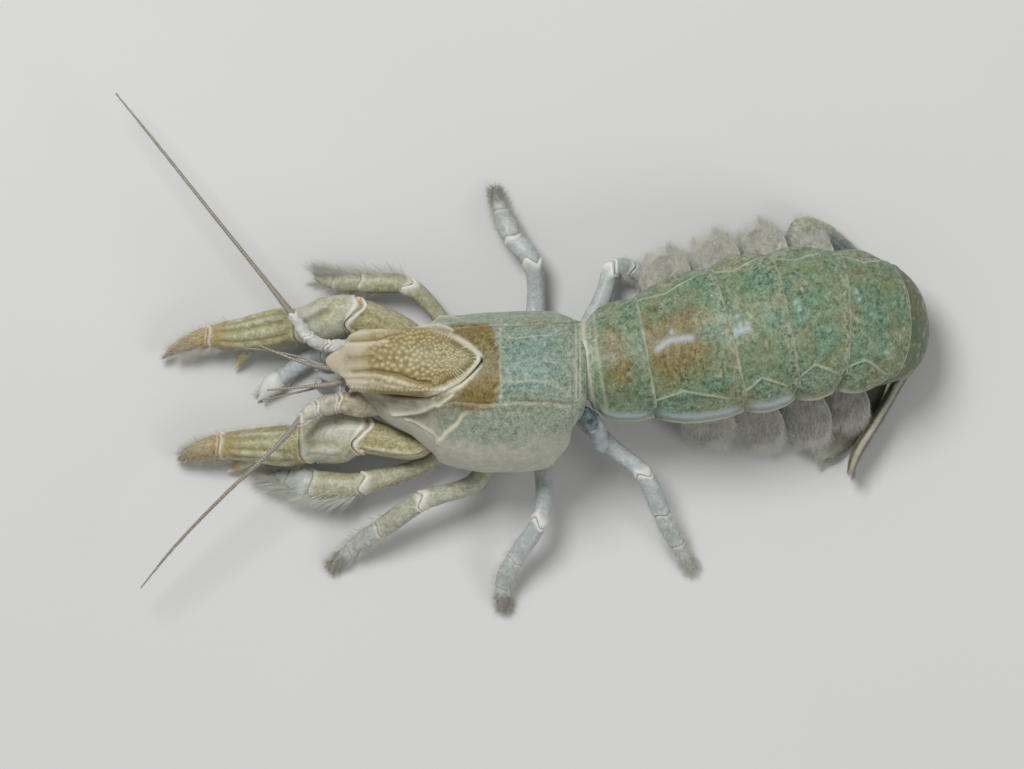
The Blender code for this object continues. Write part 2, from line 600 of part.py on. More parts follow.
def knuckled(stations, joints):
    """The stations with each joint drawn in between two swellings, and the rows of the joints."""
    rows, places = [], []
    for i, station in enumerate(stations):
        if i not in joints:
            rows.append(station)
            continue
        middle = Vector(station[:3])
        reach = JOINT_REACH * max(station[3:5])
        back = (Vector(stations[i - 1][:3]) - middle).normalized() * reach
        ahead = (Vector(stations[i + 1][:3]) - middle).normalized() * reach
        rows.append((*(middle + back), *station[3:]))
        places.append(len(rows))
        rows.append((*middle, station[3] * JOINT_PINCH, station[4] * JOINT_PINCH, *station[5:]))
        rows.append((*(middle + ahead), *station[3:]))
    return rows, places


def lock(root, lie, flat, bend, length, width):
    """A closed, flat, tapered lock that bends once, rooted below the point it grows from."""
    side = lie.cross(flat).normalized()
    rings = []
    for share, size in LOCK_SHAPE:
        middle = root + lie * (length * share) + bend * (LOCK_BEND * length * share * abs(share))
        across, thick = side * (width * size / 2), flat * (LOCK_THICK * size / 2)
        rings.append([middle + across, middle + thick, middle - across, middle - thick])
    return skinned(rings)


def spur(base, tip, radius, end=0.0):
    """A closed cone with a few sides, from a ring round its base to its tip or to a ring there."""
    base, tip = Vector(base), Vector(tip)
    lie = (tip - base).normalized()
    side = lie.orthogonal().normalized()
    over = lie.cross(side)
    turns = [2 * math.pi * i / SPUR_SIDES for i in range(SPUR_SIDES)]
    round_it = [side * math.cos(turn) + over * math.sin(turn) for turn in turns]
    return skinned([[base + out * radius for out in round_it], [tip + out * end for out in round_it]])


def joined(item, name, pieces):
    """Joins closed pieces to the item with one union."""
    bunch = bpy.data.collections.new(name + "_pieces")
    bpy.context.scene.collection.children.link(bunch)
    for piece in pieces:
        cutter(f"{name}_piece", piece, bunch)
    modifier = item.modifiers.new("union", "BOOLEAN")
    modifier.operation = "UNION"
    modifier.solver = "EXACT"
    modifier.operand_type = "COLLECTION"
    modifier.collection = bunch
    apply_all(item)
    for piece in list(bunch.objects):
        bpy.data.objects.remove(piece)
    bpy.data.collections.remove(bunch)


def path_point(rows, spans, share):
    """The middle, directions and half sizes at a share of the length of a chain."""
    steps = [(b[0] - a[0]).length for a, b in zip(spans, spans[1:])]
    left = share * sum(steps)
    low = 0
    while low < len(steps) - 1 and left > steps[low]:
        left -= steps[low]
        low += 1
    part = min(left / steps[low], 1.0)
    middle, along = (spans[low][k].lerp(spans[low + 1][k], part) for k in (0, 1))
    wide, high = (rows[low][k] + (rows[low + 1][k] - rows[low][k]) * part for k in (3, 4))
    return middle, along.normalized(), spans[low][2], spans[low][3], wide, high


def fringe(item, name, bands, rows, spans):
    """Joins the locks of each band to the item."""
    draw = random.Random(name)
    locks = []
    for start, end, count, length, width, turns in bands:
        for i in range(count):
            share = start + (end - start) * (i + 0.5) / count
            middle, along, across, above, wide, high = path_point(rows, spans, share)
            turn = math.radians(turns[i % len(turns)] + draw.uniform(-LOCK_TURN, LOCK_TURN))
            out = across * math.sin(turn) + above * math.cos(turn)
            side = across * wide * math.sin(turn) + above * high * math.cos(turn)
            root = middle + side * LOCK_ROOT
            lie = (along * draw.uniform(*LOCK_LEAN) + out).normalized()
            reach = length * draw.uniform(*LOCK_REACH)
            root.z = max(root.z, FLOOR_CLEAR + LOCK_THICK / 2)
            if root.z + lie.z * reach < FLOOR_CLEAR:
                lie.z = (FLOOR_CLEAR - root.z) / reach
                lie.normalize()
            flat = along.cross(out).normalized()
            bend = (along - lie * along.dot(lie)).normalized()
            bend.z = max(bend.z, 0.0)
            locks.append(lock(root, lie, flat, bend, reach, width))
    joined(item, name, locks)


def limb(names, stations, joints, splits, colour, parts, sides=8, power=0.85):
    """One limb as a chain, parted by thin gaps at the joints named in splits."""
    rows, places = knuckled(stations, joints)
    spans = frames(rows)
    parting = [places[joints.index(split)] for split in splits]
    bounds = (0, *parting, len(rows) - 1)
    made = []
    for name, start, end in zip(names, bounds, bounds[1:]):
        rings = []
        for i in range(start, end + 1):
            middle, along, across, above = spans[i]
            if i == start and start:
                middle = middle + along * (GAP / 2)
            if i == end and end < len(rows) - 1:
                middle = middle - along * (GAP / 2)
            rings.append(ring((middle, along, across, above), rows[i][3], rows[i][4], sides, 0.0, power))
        item = place(name, skinned(rings), colour, parts)
        bands = PLEOPOD_FRINGE if name.startswith("pleopod") else FRINGES.get(name)
        if bands:
            fringe(item, name, bands, rows[start:end + 1], spans[start:end + 1])
        if name in SPURS:
            joined(item, name + "_spurs", [spur(*numbers) for numbers in SPURS[name]])
        made.append(item)
    return made


def tail_fan(parts, near_abdomen):
    """The telson and two blades on each side of it."""
    (telson,) = limb(("telson",), TELSON, (), (), FAN_BLUE, parts, sides=12, power=0.7)
    cut_by(telson, near_abdomen)
    rest_on_floor(telson)
    for name, stations in UROPODS.items():
        (blade,) = limb((name,), stations, (), (), FAN_BLUE, parts, sides=10, power=0.8)
        joined(blade, name + "_ridges", ridges(stations))
        cut_by(blade, near_abdomen)
        rest_on_floor(blade)


def ridges(stations):
    """Bars along a blade that stand a little out of both its faces."""
    spans = frames(stations)
    bars = []
    for share in RIDGE_SHARES:
        ends = []
        for i in (2, len(stations) - 2):
            middle, _, across, above = spans[i]
            wide, high = stations[i][3:5]
            ends.append(middle + (across * wide if wide > high else above * high) * share)
            radius = min(wide, high) + RIDGE_RISE
        bars.append(spur(*ends, radius, radius))
    return bars


def swimmerets(parts, near_abdomen):
    """A pair of leaf-like limbs under each of the segments 2 to 5."""
    for side, roots, tips in (("left", *PLEOPODS_LEFT), ("right", *PLEOPODS_RIGHT)):
        for number, (root, tip) in enumerate(zip(roots, tips), start=2):
            root, tip = Vector(root), Vector(tip)
            stations = []
            for share, wide in PLEOPOD_SHAPE:
                x, y, z = root.lerp(tip, share)
                sag = PLEOPOD_SAG * 4 * share * (1 - share)
                stations.append((x, y, z + sag, wide, PLEOPOD_THICK / 2, PLEOPOD_ROLL[side]))
            (blade,) = limb((f"pleopod_{side}_{number}",), stations, (), (), FRINGE_GREY, parts)
            cut_by(blade, near_abdomen)
            rest_on_floor(blade)


def head_limbs(parts, near_trunk, near_shield):
    """Eyes, antennules, antennae and maxillipeds."""
    for side in ("left", "right"):
        (eye,) = limb((f"eye_{side}",), EYES[side], (), (), CORNEA_DARK, parts, sides=10, power=1.0)
        cut_by(eye, near_trunk, near_shield)
        base, flagellum = limb(
            (f"antenna_{side}_base", f"antenna_{side}_flagellum"),
            ANTENNAE[side], (2, 4), (4,), FEELER_TAUPE, parts, sides=8, power=1.0,
        )
        cut_by(base, near_trunk, near_shield)
        inner, outer = (
            limb((f"antennule_{side}{end}",), stations, (), (), FEELER_TAUPE, parts, sides=6, power=1.0)[0]
            for end, stations in zip(("", "_branch"), ANTENNULES[side])
        )
        cut_by(inner, outer, operation="UNION")
        cut_by(inner, near_trunk, near_shield)
        bpy.data.objects.remove(outer)
        (jaw,) = limb((f"maxilliped_{side}",), MAXILLIPEDS[side], (2,), (), LIMB_PALE, parts)
        cut_by(jaw, near_trunk)
        rest_on_floor(jaw)


def claws(parts, near_trunk):
    """The two claw limbs: arm, wrist, palm with its fixed finger, and the moving finger."""
    for side, stations in CLAWS.items():
        names = [f"claw_{side}_{part}" for part in ("arm", "wrist", "palm", "finger")]
        made = limb(names, stations, (2, 4, 7), (2, 4, 7), CLAW_OLIVE, parts, sides=12, power=0.8)
        cut_by(made[0], near_trunk)
        for piece in made:
            rest_on_floor(piece)


def legs(parts, near_trunk):
    """Four walking legs on each side, each an upper and a lower length."""
    for name, stations in LEGS.items():
        colour = CLAW_OLIVE if name.endswith("2") else LIMB_PALE
        upper, lower = limb((f"leg_{name}_upper", f"leg_{name}_lower"), stations, (2, 3), (2,), colour, parts)
        cut_by(upper, near_trunk)
        rest_on_floor(upper)
        rest_on_floor(lower)


def main():
    """Builds every node."""
    for item in list(bpy.data.objects):
        bpy.data.objects.remove(item)
    parts = bpy.data.collections.new(NAME)
    guides = bpy.data.collections.new("guides")
    bpy.context.scene.collection.children.link(parts)
    bpy.context.scene.collection.children.link(guides)
    near_trunk = cutter("near_trunk", skinned(trunk_rings(GAP)), guides)
    near_shield = cutter("near_shield", skinned(shield_rings(GAP)), guides)
    near_abdomen = cutter("near_abdomen", skinned(abdomen_rings(GAP)), guides)
    trunk(parts, guides)
    abdomen(parts, near_trunk)
    tail_fan(parts, near_abdomen)
    swimmerets(parts, near_abdomen)
    head_limbs(parts, near_trunk, near_shield)
    claws(parts, near_trunk)
    legs(parts, near_trunk)


main()
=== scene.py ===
"""Blue mud shrimp: the finish of the still, life-size model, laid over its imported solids.

The head points to -X, the back to +Z and the animal's right side to +Y. The sizes in the
tables are in millimetres and the meshes in metres, in the frame of the solids.
"""

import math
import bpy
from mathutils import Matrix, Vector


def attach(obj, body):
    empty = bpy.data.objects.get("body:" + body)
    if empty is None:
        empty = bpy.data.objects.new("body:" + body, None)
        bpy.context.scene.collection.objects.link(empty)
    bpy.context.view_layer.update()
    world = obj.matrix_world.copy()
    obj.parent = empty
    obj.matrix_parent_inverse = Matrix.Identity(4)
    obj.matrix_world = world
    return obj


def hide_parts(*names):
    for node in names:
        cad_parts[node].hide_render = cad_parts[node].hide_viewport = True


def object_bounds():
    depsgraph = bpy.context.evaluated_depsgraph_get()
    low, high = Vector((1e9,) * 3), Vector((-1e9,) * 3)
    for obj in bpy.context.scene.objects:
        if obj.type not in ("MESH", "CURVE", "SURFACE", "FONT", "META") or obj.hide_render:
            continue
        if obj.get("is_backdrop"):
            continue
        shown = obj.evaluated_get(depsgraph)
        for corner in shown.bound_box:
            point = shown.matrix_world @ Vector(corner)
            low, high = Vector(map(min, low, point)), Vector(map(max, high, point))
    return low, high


bl_info = {
    "name": "Blue Mud Shrimp Model",
    "version": (1, 0, 0),
    "blender": (4, 5, 0),
    "location": "View3D > Sidebar > Shrimp",
    "description": "Builds the shell, limbs, bristles and stage of a blue mud shrimp model",
    "category": "Object",
}

import bmesh
import bpy
import numpy as np
from bpy.props import FloatProperty, FloatVectorProperty, IntProperty, PointerProperty
from mathutils import Matrix, Vector

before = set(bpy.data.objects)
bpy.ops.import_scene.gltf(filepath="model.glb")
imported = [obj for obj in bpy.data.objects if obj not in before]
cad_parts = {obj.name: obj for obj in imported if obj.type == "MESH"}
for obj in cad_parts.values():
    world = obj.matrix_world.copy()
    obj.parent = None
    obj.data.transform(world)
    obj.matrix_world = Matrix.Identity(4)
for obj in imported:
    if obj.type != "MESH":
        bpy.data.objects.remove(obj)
CAD_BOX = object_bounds()

MM = 0.001
WELD = 1e-7

# The trunk leans to its right side by this angle.
TRUNK_ROLL = 19.0

# Sections of the trunk, front to back: x, y, z of the middle, half width, half height.
TRUNK = (
    (-27.2, -1.6, 13.2, 2.4, 2.4),
    (-25.8, -2.0, 13.2, 4.2, 4.2),
    (-22.0, -3.3, 13.2, 6.6, 6.6),
    (-17.0, -3.9, 14.4, 8.6, 8.2),
    (-13.6, -4.2, 15.2, 9.8, 9.0),
    (-12.2, -4.5, 15.6, 10.8, 9.4),
    (-7.0, -4.8, 16.0, 11.7, 9.9),
    (0.0, -4.6, 16.0, 11.9, 10.0),
    (5.0, -4.2, 15.9, 11.3, 9.7),
    (8.2, -3.8, 15.7, 9.8, 9.0),
    (9.2, -3.6, 15.6, 8.8, 8.3),
)
TRUNK_FLARE = 0.25
TRUNK_SQUARE = 0.94

# The shield on the head: x, height of its keel, half width, thickness.
SHIELD = (
    (-29.6, 17.3, 0.4, 0.9),
    (-28.6, 18.2, 1.4, 1.7),
    (-26.9, 19.3, 2.2, 2.3),
    (-26.3, 19.7, 2.5, 2.4),
    (-25.9, 20.0, 3.7, 2.5),
    (-24.0, 21.0, 4.2, 2.6),
    (-20.0, 22.8, 4.4, 2.6),
    (-16.0, 24.3, 4.8, 2.6),
    (-12.6, 25.3, 5.0, 2.6),
    (-9.8, 25.9, 4.6, 2.6),
    (-7.9, 26.1, 3.4, 2.5),
    (-6.9, 26.1, 2.0, 2.3),
    (-6.5, 26.0, 0.6, 2.0),
)
SHIELD_Y = (-0.7, -0.4)
SHIELD_DROP = 0.068

# The abdomen's axis, from the carapace to the tail: x, y, z, half width, half height, roll.
ABDOMEN = (
    (9.6, -1.6, 15.8, 6.6, 6.9, 14.0),
    (13.0, -1.1, 16.0, 8.0, 7.5, 13.0),
    (17.3, -0.3, 16.0, 9.0, 7.7, 12.0),
    (23.5, 0.9, 16.0, 10.3, 7.9, 12.0),
    (29.7, 2.4, 15.8, 11.1, 8.0, 12.0),
    (34.0, 3.5, 15.6, 11.3, 8.0, 12.0),
    (38.1, 4.4, 15.3, 11.2, 7.9, 13.0),
    (42.2, 5.1, 14.9, 10.9, 7.7, 14.0),
    (46.2, 5.5, 14.3, 10.4, 7.4, 15.0),
    (49.8, 5.3, 13.3, 10.1, 7.2, 15.0),
    (52.8, 5.0, 11.6, 9.6, 6.7, 14.0),
    (54.9, 4.8, 9.3, 8.8, 6.0, 10.0),
    (55.6, 4.8, 6.6, 7.4, 5.2, 4.0),
)
ABDOMEN_CUTS = (2, 4, 6, 8, 10)
ABDOMEN_SPAN = 30

# The tail fan: x, y, z, half width, half height, roll along the middle of each blade. The right
# outer blade is drawn with a rounder tip than its solid has.
TELSON = (
    (56.6, 5.0, 6.6, 3.4, 1.1, 0.0),
    (56.2, 5.0, 3.8, 4.0, 1.1, 0.0),
    (53.4, 5.0, 2.2, 4.6, 1.0, 0.0),
    (48.5, 5.0, 1.1, 4.8, 0.9, 0.0),
    (45.2, 5.0, 0.7, 4.0, 0.7, 0.0),
    (44.2, 5.0, 0.6, 2.4, 0.5, 0.0),
)
UROPODS = {
    "uropod_right_outer": (
        (57.0, 8.4, 7.4, 1.0, 1.0, 0.0),
        (55.4, 9.6, 4.8, 1.3, 0.9, 0.0),
        (52.2, 11.8, 4.2, 1.9, 0.7, 0.0),
        (48.6, 14.2, 4.2, 2.7, 0.6, 0.0),
        (44.8, 16.8, 4.4, 3.2, 0.6, 0.0),
        (42.0, 18.5, 4.4, 2.8, 0.5, 0.0),
        (40.5, 19.2, 4.2, 1.6, 0.4, 0.0),
    ),
    "uropod_right_inner": (
        (52.4, 8.8, 7.0, 0.9, 0.8, 0.0),
        (51.6, 10.2, 2.4, 1.0, 0.7, 0.0),
        (50.0, 11.8, 1.4, 1.8, 0.6, 0.0),
        (47.0, 13.2, 1.2, 2.6, 0.6, 0.0),
        (43.6, 14.2, 1.0, 2.5, 0.5, 0.0),
        (41.4, 14.8, 0.9, 1.2, 0.4, 0.0),
    ),
    "uropod_left_outer": (
        (58.2, 0.8, 7.4, 1.0, 1.0, 0.0),
        (58.2, -1.0, 5.2, 0.9, 1.5, 0.0),
        (56.4, -4.2, 4.6, 0.8, 2.4, 0.0),
        (53.6, -9.2, 4.2, 0.8, 3.0, 0.0),
        (50.4, -14.4, 3.8, 0.8, 2.8, 0.0),
        (49.3, -17.6, 3.4, 0.5, 1.4, 0.0),
    ),
    "uropod_left_inner": (
        (53.8, 0.8, 7.0, 0.8, 0.9, 0.0),
        (54.4, -1.2, 3.0, 1.0, 0.9, 0.0),
        (52.6, -5.0, 2.4, 2.0, 0.7, 20.0),
        (50.0, -9.4, 2.1, 2.7, 0.6, 25.0),
        (46.6, -13.6, 1.9, 2.4, 0.5, 25.0),
        (44.4, -15.6, 1.7, 1.0, 0.4, 25.0),
    ),
}

# The swimmerets: where each is rooted and where its tip hangs, for the segments 2 to 5.
PLEOPODS_LEFT = (
    ((26.0, -5.0, 9.0), (34.0, -4.0, 8.8), (42.0, -3.0, 8.2), (48.6, -2.0, 7.6)),
    ((28.4, -12.4, 3.6), (35.6, -13.0, 3.6), (42.6, -12.6, 3.8), (48.0, -9.9, 5.0)),
)
PLEOPODS_RIGHT = (
    ((23.0, 6.0, 8.6), (31.0, 8.0, 8.4), (38.6, 10.0, 8.0), (45.0, 10.6, 7.2)),
    ((20.6, 14.6, 3.6), (27.8, 17.0, 3.6), (34.6, 18.4, 3.8), (41.0, 18.6, 4.6)),
)

# Limbs of the head: x, y, z, half width, half height.
# The outer part of each antenna, from its last thick length on.
ANTENNAE = {
    "left": (
        (-30.6, -7.4, 13.3, 1.0, 1.0), (-33.2, -9.2, 13.3, 0.8, 0.8), (-37.5, -14.0, 13.3, 0.5, 0.5),
        (-44.8, -20.8, 12.6, 0.4, 0.4), (-52.2, -28.4, 10.8, 0.34, 0.34), (-57.6, -34.9, 8.6, 0.16, 0.16),
    ),
    "right": (
        (-32.0, 2.4, 13.6, 1.0, 1.0), (-34.6, 6.0, 13.6, 0.8, 0.8), (-38.9, 11.5, 13.6, 0.5, 0.5),
        (-46.6, 21.1, 13.0, 0.4, 0.4), (-54.5, 31.0, 11.2, 0.34, 0.34), (-61.35, 39.4, 8.8, 0.16, 0.16),
    ),
}
ANTENNULES = {
    "left": (
        ((-26.4, -3.6, 14.4, 0.8, 0.8), (-29.0, -4.3, 14.9, 0.75, 0.75), (-32.9, -4.7, 15.0, 0.45, 0.45),
         (-38.4, -5.2, 14.4, 0.25, 0.25)),
        ((-29.4, -4.3, 14.9, 0.5, 0.5), (-32.0, -5.1, 14.2, 0.38, 0.38), (-36.0, -6.0, 13.6, 0.3, 0.3),
         (-39.8, -6.8, 12.8, 0.2, 0.2)),
    ),
    "right": (
        ((-26.8, -1.8, 14.4, 0.8, 0.8), (-29.4, -1.9, 14.9, 0.75, 0.75), (-33.3, -1.0, 15.0, 0.45, 0.45),
         (-39.9, 1.6, 14.4, 0.25, 0.25)),
        ((-29.8, -1.8, 14.9, 0.5, 0.5), (-33.0, -0.4, 14.0, 0.38, 0.38), (-37.6, 0.6, 13.4, 0.3, 0.3),
         (-41.8, 1.1, 12.6, 0.2, 0.2)),
    ),
}
MAXILLIPEDS = {
    "left": ((-20.0, -6.4, 7.6, 1.2, 1.2), (-24.5, -6.2, 5.2, 1.2, 1.3), (-28.2, -5.6, 4.4, 1.1, 1.2),
             (-30.2, -4.7, 6.4, 1.0, 1.1), (-30.8, -4.0, 8.6, 0.5, 0.6)),
    "right": ((-20.0, -1.6, 7.2, 1.2, 1.2), (-24.5, -1.2, 5.2, 1.2, 1.2), (-28.0, -1.6, 4.7, 1.1, 1.1),
              (-29.8, -1.7, 6.6, 1.0, 1.1), (-30.6, -1.6, 8.6, 0.5, 0.6)),
}

# Claws, from the trunk to the fingertip: x, y, z, half width, half height, roll.
CLAWS = {
    "left": (
        (-13.0, -9.5, 8.2, 1.6, 1.8, 0.0), (-16.0, -13.8, 8.6, 1.7, 2.2, 0.0),
        (-23.9, -12.0, 7.6, 2.9, 3.2, 0.0), (-28.0, -12.2, 6.6, 4.0, 3.9, 0.0),
        (-32.9, -13.4, 5.4, 2.7, 2.9, 0.0), (-36.0, -13.6, 4.6, 3.1, 3.8, 0.0),
        (-41.0, -13.5, 3.9, 2.5, 3.6, 0.0), (-45.6, -13.7, 3.4, 1.75, 2.2, 0.0),
        (-49.0, -14.2, 2.7, 1.2, 1.4, 0.0), (-52.05, -14.9, 1.6, 0.3, 0.35, 0.0),
    ),
    "right": (
        (-14.6, -1.0, 7.2, 1.6, 1.7, 0.0), (-17.6, 3.4, 7.4, 2.0, 2.1, 0.0),
        (-25.2, 6.0, 7.0, 2.8, 3.1, 0.0), (-29.0, 5.6, 6.4, 3.4, 3.8, 0.0),
        (-33.8, 4.5, 5.4, 2.6, 2.9, 0.0), (-37.2, 4.1, 4.6, 3.0, 3.8, 0.0),
        (-42.6, 3.2, 3.9, 2.5, 3.6, 0.0), (-47.3, 2.6, 3.4, 1.5, 2.2, 0.0),
        (-51.0, 1.4, 2.7, 1.1, 1.4, 0.0), (-54.5, -0.2, 1.6, 0.3, 0.35, 0.0),
    ),
}

# Walking legs, from the trunk to the tip: root, below the flank, knee, ankle, foot, tip.
LEGS = {
    "left_2": ((-10.6, -8.0, 4.8, 1.2, 1.2), (-13.4, -15.4, 4.4, 1.2, 1.3), (-24.2, -19.2, 5.2, 1.8, 1.8),
               (-31.6, -19.5, 4.0, 2.0, 2.0), (-35.2, -18.6, 2.4, 1.5, 1.4), (-38.6, -18.0, 0.6, 0.4, 0.6)),
    "left_3": ((-5.0, -8.0, 5.6, 1.4, 1.4), (-6.8, -18.4, 6.4, 1.4, 1.4), (-15.2, -21.8, 7.6, 1.6, 1.6),
               (-21.4, -26.0, 4.8, 1.4, 1.4), (-26.0, -29.2, 2.2, 1.2, 1.2), (-29.4, -32.4, 0.2, 0.6, 0.6)),
    "left_4": ((1.6, -8.0, 5.6, 1.3, 1.3), (3.0, -18.2, 6.8, 1.35, 1.35), (2.3, -24.8, 7.8, 1.4, 1.4),
               (-1.2, -30.4, 4.8, 1.25, 1.25), (-3.2, -34.6, 2.2, 1.2, 1.2), (-2.8, -38.6, 0.2, 0.7, 0.6)),
    "left_5": ((6.0, -6.6, 7.2, 1.2, 1.2), (12.8, -13.4, 8.2, 1.3, 1.3), (17.8, -17.6, 8.4, 1.4, 1.4),
               (20.6, -23.4, 5.4, 1.25, 1.25), (23.0, -28.2, 2.6, 1.2, 1.2), (25.8, -33.0, 0.2, 0.7, 0.6)),
    "right_2": ((-10.6, 0.4, 5.2, 1.2, 1.2), (-12.6, 5.6, 4.2, 1.2, 1.2), (-17.4, 10.4, 5.0, 1.5, 1.5),
                (-24.4, 10.9, 4.0, 1.35, 1.4), (-28.4, 11.0, 2.6, 1.1, 1.1), (-31.6, 11.8, 0.3, 0.5, 0.6)),
    "right_3": ((-7.0, -4.0, 6.0, 1.3, 1.3), (-14.0, -0.8, 2.2, 1.3, 1.2), (-22.0, 1.6, 1.9, 1.3, 1.3),
                (-30.4, 0.4, 1.7, 1.2, 1.2), (-36.6, -3.2, 1.4, 1.1, 1.0), (-40.2, -6.8, 0.5, 0.6, 0.6)),
    "right_4": ((0.6, -2.0, 5.2, 1.3, 1.3), (1.8, 7.4, 3.8, 1.4, 1.4), (1.2, 14.2, 5.2, 1.5, 1.5),
                (-1.6, 17.6, 4.2, 1.4, 1.4), (-3.4, 21.6, 2.4, 1.2, 1.2), (-4.5, 25.4, 0.2, 0.6, 0.6)),
    "right_5": ((6.0, -2.0, 7.2, 1.2, 1.2), (11.4, 7.6, 5.2, 1.4, 1.4), (13.2, 12.8, 4.4, 1.4, 1.4),
                (15.8, 13.2, 2.8, 1.25, 1.25), (18.6, 11.6, 1.4, 1.1, 1.1), (21.4, 9.4, 0.3, 0.6, 0.5)),
}
ABDOMEN_FLARE = 0.12
ABDOMEN_SQUARE = 0.86
PLEOPOD_SHAPE = ((0.0, 1.2), (0.3, 2.4), (0.6, 3.5), (0.86, 3.1), (1.0, 1.6))
PLEOPOD_THICK = 1.0
PLEOPOD_SAG = 0.8
PLEOPOD_ROLL = {"left": -15.0, "right": 15.0}


def tone(red, green, blue):
    """A linear colour from the display values 0 to 255 of a finish."""
    return tuple(((v / 255 + 0.055) / 1.055) ** 2.4 for v in (red, green, blue))


def colour_property(name, description, red, green, blue):
    """A colour that a user may change."""
    return FloatVectorProperty(
        name=name, description=description, subtype="COLOR", size=3, min=0.0, max=1.0,
        default=tone(red, green, blue),
    )


def size_property(name, description, default):
    """A length in metres that a user may change."""
    return FloatProperty(name=name, description=description, default=default, unit="LENGTH", precision=5)


class ShrimpShellColours(bpy.types.PropertyGroup):
    """Colours of the shell plates."""

    green_dark: colour_property("Dark Green", "Meshes of the abdomen's network", 62, 92, 68)
    green_light: colour_property("Light Green", "Threads of the abdomen's network", 138, 166, 140)
    blue_dark: colour_property("Dark Blue Green", "Meshes of the heart region", 78, 114, 108)
    blue_light: colour_property("Light Blue Green", "Threads of the heart region", 150, 172, 164)
    ochre_dark: colour_property("Dark Ochre", "Meshes of the ochre patches", 88, 70, 24)
    ochre_light: colour_property("Light Ochre", "Threads of the ochre patches", 152, 134, 80)
    shield_dark: colour_property("Shield Furrow", "Furrows between the shield's tubercles", 124, 104, 52)
    shield_light: colour_property("Shield Tubercle", "Tops of the shield's tubercles", 204, 190, 142)
    flank_dark: colour_property("Flank Speckle", "Speckles of the flank", 108, 126, 106)
    flank_light: colour_property("Flank Ground", "Ground of the flank", 176, 182, 164)
    belly: colour_property("Belly", "Lower flank and underside", 204, 199, 183)
    pale: colour_property("Pale Margin", "Margins of the plates", 214, 210, 186)
    # Painted highlight: a bluish white tone laid on the abdomen as stripes and dots on the back and a band
    # along the left flank.
    painted_highlight: colour_property("Painted Highlight", "Streaks and dots along the back", 186, 200, 208)


class ShrimpLimbColours(bpy.types.PropertyGroup):
    """Colours of the limbs, feelers and bristles."""

    olive_dark: colour_property("Dark Olive", "Furrows of the claws", 134, 128, 78)
    olive_light: colour_property("Light Olive", "Ridges of the claws", 204, 200, 162)
    leg_dark: colour_property("Leg Ground", "Ground of the walking legs", 164, 172, 174)
    leg_light: colour_property("Leg Light", "Light network of the walking legs", 206, 214, 218)
    white: colour_property("Joint White", "Rims of the joints", 230, 230, 222)
    orange: colour_property("Joint Orange", "Knobs of the joints and edges of the fingers", 206, 146, 84)
    tawny: colour_property("Finger Brown", "Tawny brown of the fingers", 142, 104, 58)
    feeler: colour_property("Feeler", "Rings of the feelers", 150, 138, 118)
    feeler_dark: colour_property("Feeler Gap", "Between the rings of the feelers", 84, 76, 62)
    cornea: colour_property("Cornea", "Cornea of the eye", 86, 66, 78)
    leaf: colour_property("Swimmeret", "Leaves of the swimmerets", 132, 132, 124)
    fan_blue: colour_property("Fan Blue", "Dark patch of the tail fan", 46, 74, 98)
    bristle: colour_property("Bristle", "Bristles", 222, 220, 208)
    soil: colour_property("Soiled Bristle", "Tips of the bristles at the feet", 122, 112, 88)


class ShrimpReliefSizes(bpy.types.PropertyGroup):
    """Heights and depths of the relief."""

    furrow: size_property("Furrow Depth", "Depth of the furrows on the shield", 0.00034)
    tubercle: size_property("Tubercle Height", "Height of the tubercles in rows", 0.00026)
    rim: size_property("Rim Height", "How far each hind margin stands over the next plate", 0.0003)
    ridge: size_property("Ridge Height", "Height of the ridges along the claws", 0.0003)
    bristle: size_property("Bristle Thickness", "Thickness of a bristle at its root", 0.000045)
    seed: IntProperty(name="Seed", description="Seed of every random draw", default=7, min=0)


class ShrimpStageSizes(bpy.types.PropertyGroup):
    """The floor, the camera and the light."""

    floor: size_property("Floor Width", "Width of the floor", 3.0)
    camera_height: size_property("Camera Height", "Height of the camera over the floor", 1.2)
    view_width: size_property("View Width", "Width that the camera sees at the height of the back", 0.1536)
    view_x: size_property("View X", "Where the camera looks, along the animal", -0.0018)
    view_y: size_property("View Y", "Where the camera looks, across the animal", -0.00435)
    key_power: FloatProperty(name="Key Light", description="Power of the main soft light", default=5.1)
    fill: FloatProperty(name="Fill Light", description="Strength of the light from all round", default=0.31)


def fade(value, low, high):
    """0 below low and 1 above high, with a smooth passage."""
    share = np.clip((value - low) / (high - low), 0.0, 1.0)
    return share * share * (3 - 2 * share)


def bump_at(value, middle, width):
    """A smooth hill of height 1."""
    return np.exp(-(((value - middle) / width) ** 2))


def blended(stations, per_span):
    """The stations with more between them, on a smooth curve through all their numbers."""
    rows = np.array(stations, dtype=float)
    last = len(rows) - 1
    part = (np.arange(per_span) / per_span)[:, None]
    spans = []
    for i in range(last):
        a, b, c, d = rows[max(i - 1, 0)], rows[i], rows[i + 1], rows[min(i + 2, last)]
        spans.append(0.5 * (
            2 * b + (c - a) * part + (2 * a - 5 * b + 4 * c - d) * part**2
            + (3 * b - a - 3 * c + d) * part**3
        ))
    spans.append(rows[-1:])
    made = np.concatenate(spans)
    made[:, 3:5] = np.maximum(made[:, 3:5], 0.04)
    return made


def unit(vectors):
    """The vectors at length 1."""
    length = np.linalg.norm(vectors, axis=-1, keepdims=True)
    return vectors / np.maximum(length, 1e-9)


def directions(rows):
    """Along, across and above at each row, after the row's roll."""
    along = unit(np.gradient(rows[:, :3], axis=0))
    across = unit(np.cross(np.array((0.0, 0.0, 1.0)), along))
    above = np.cross(along, across)
    if rows.shape[1] > 5:
        turn = np.radians(rows[:, 5:6])
        across, above = (
            across * np.cos(turn) - above * np.sin(turn),
            above * np.cos(turn) + across * np.sin(turn),
        )
    return along, across, above


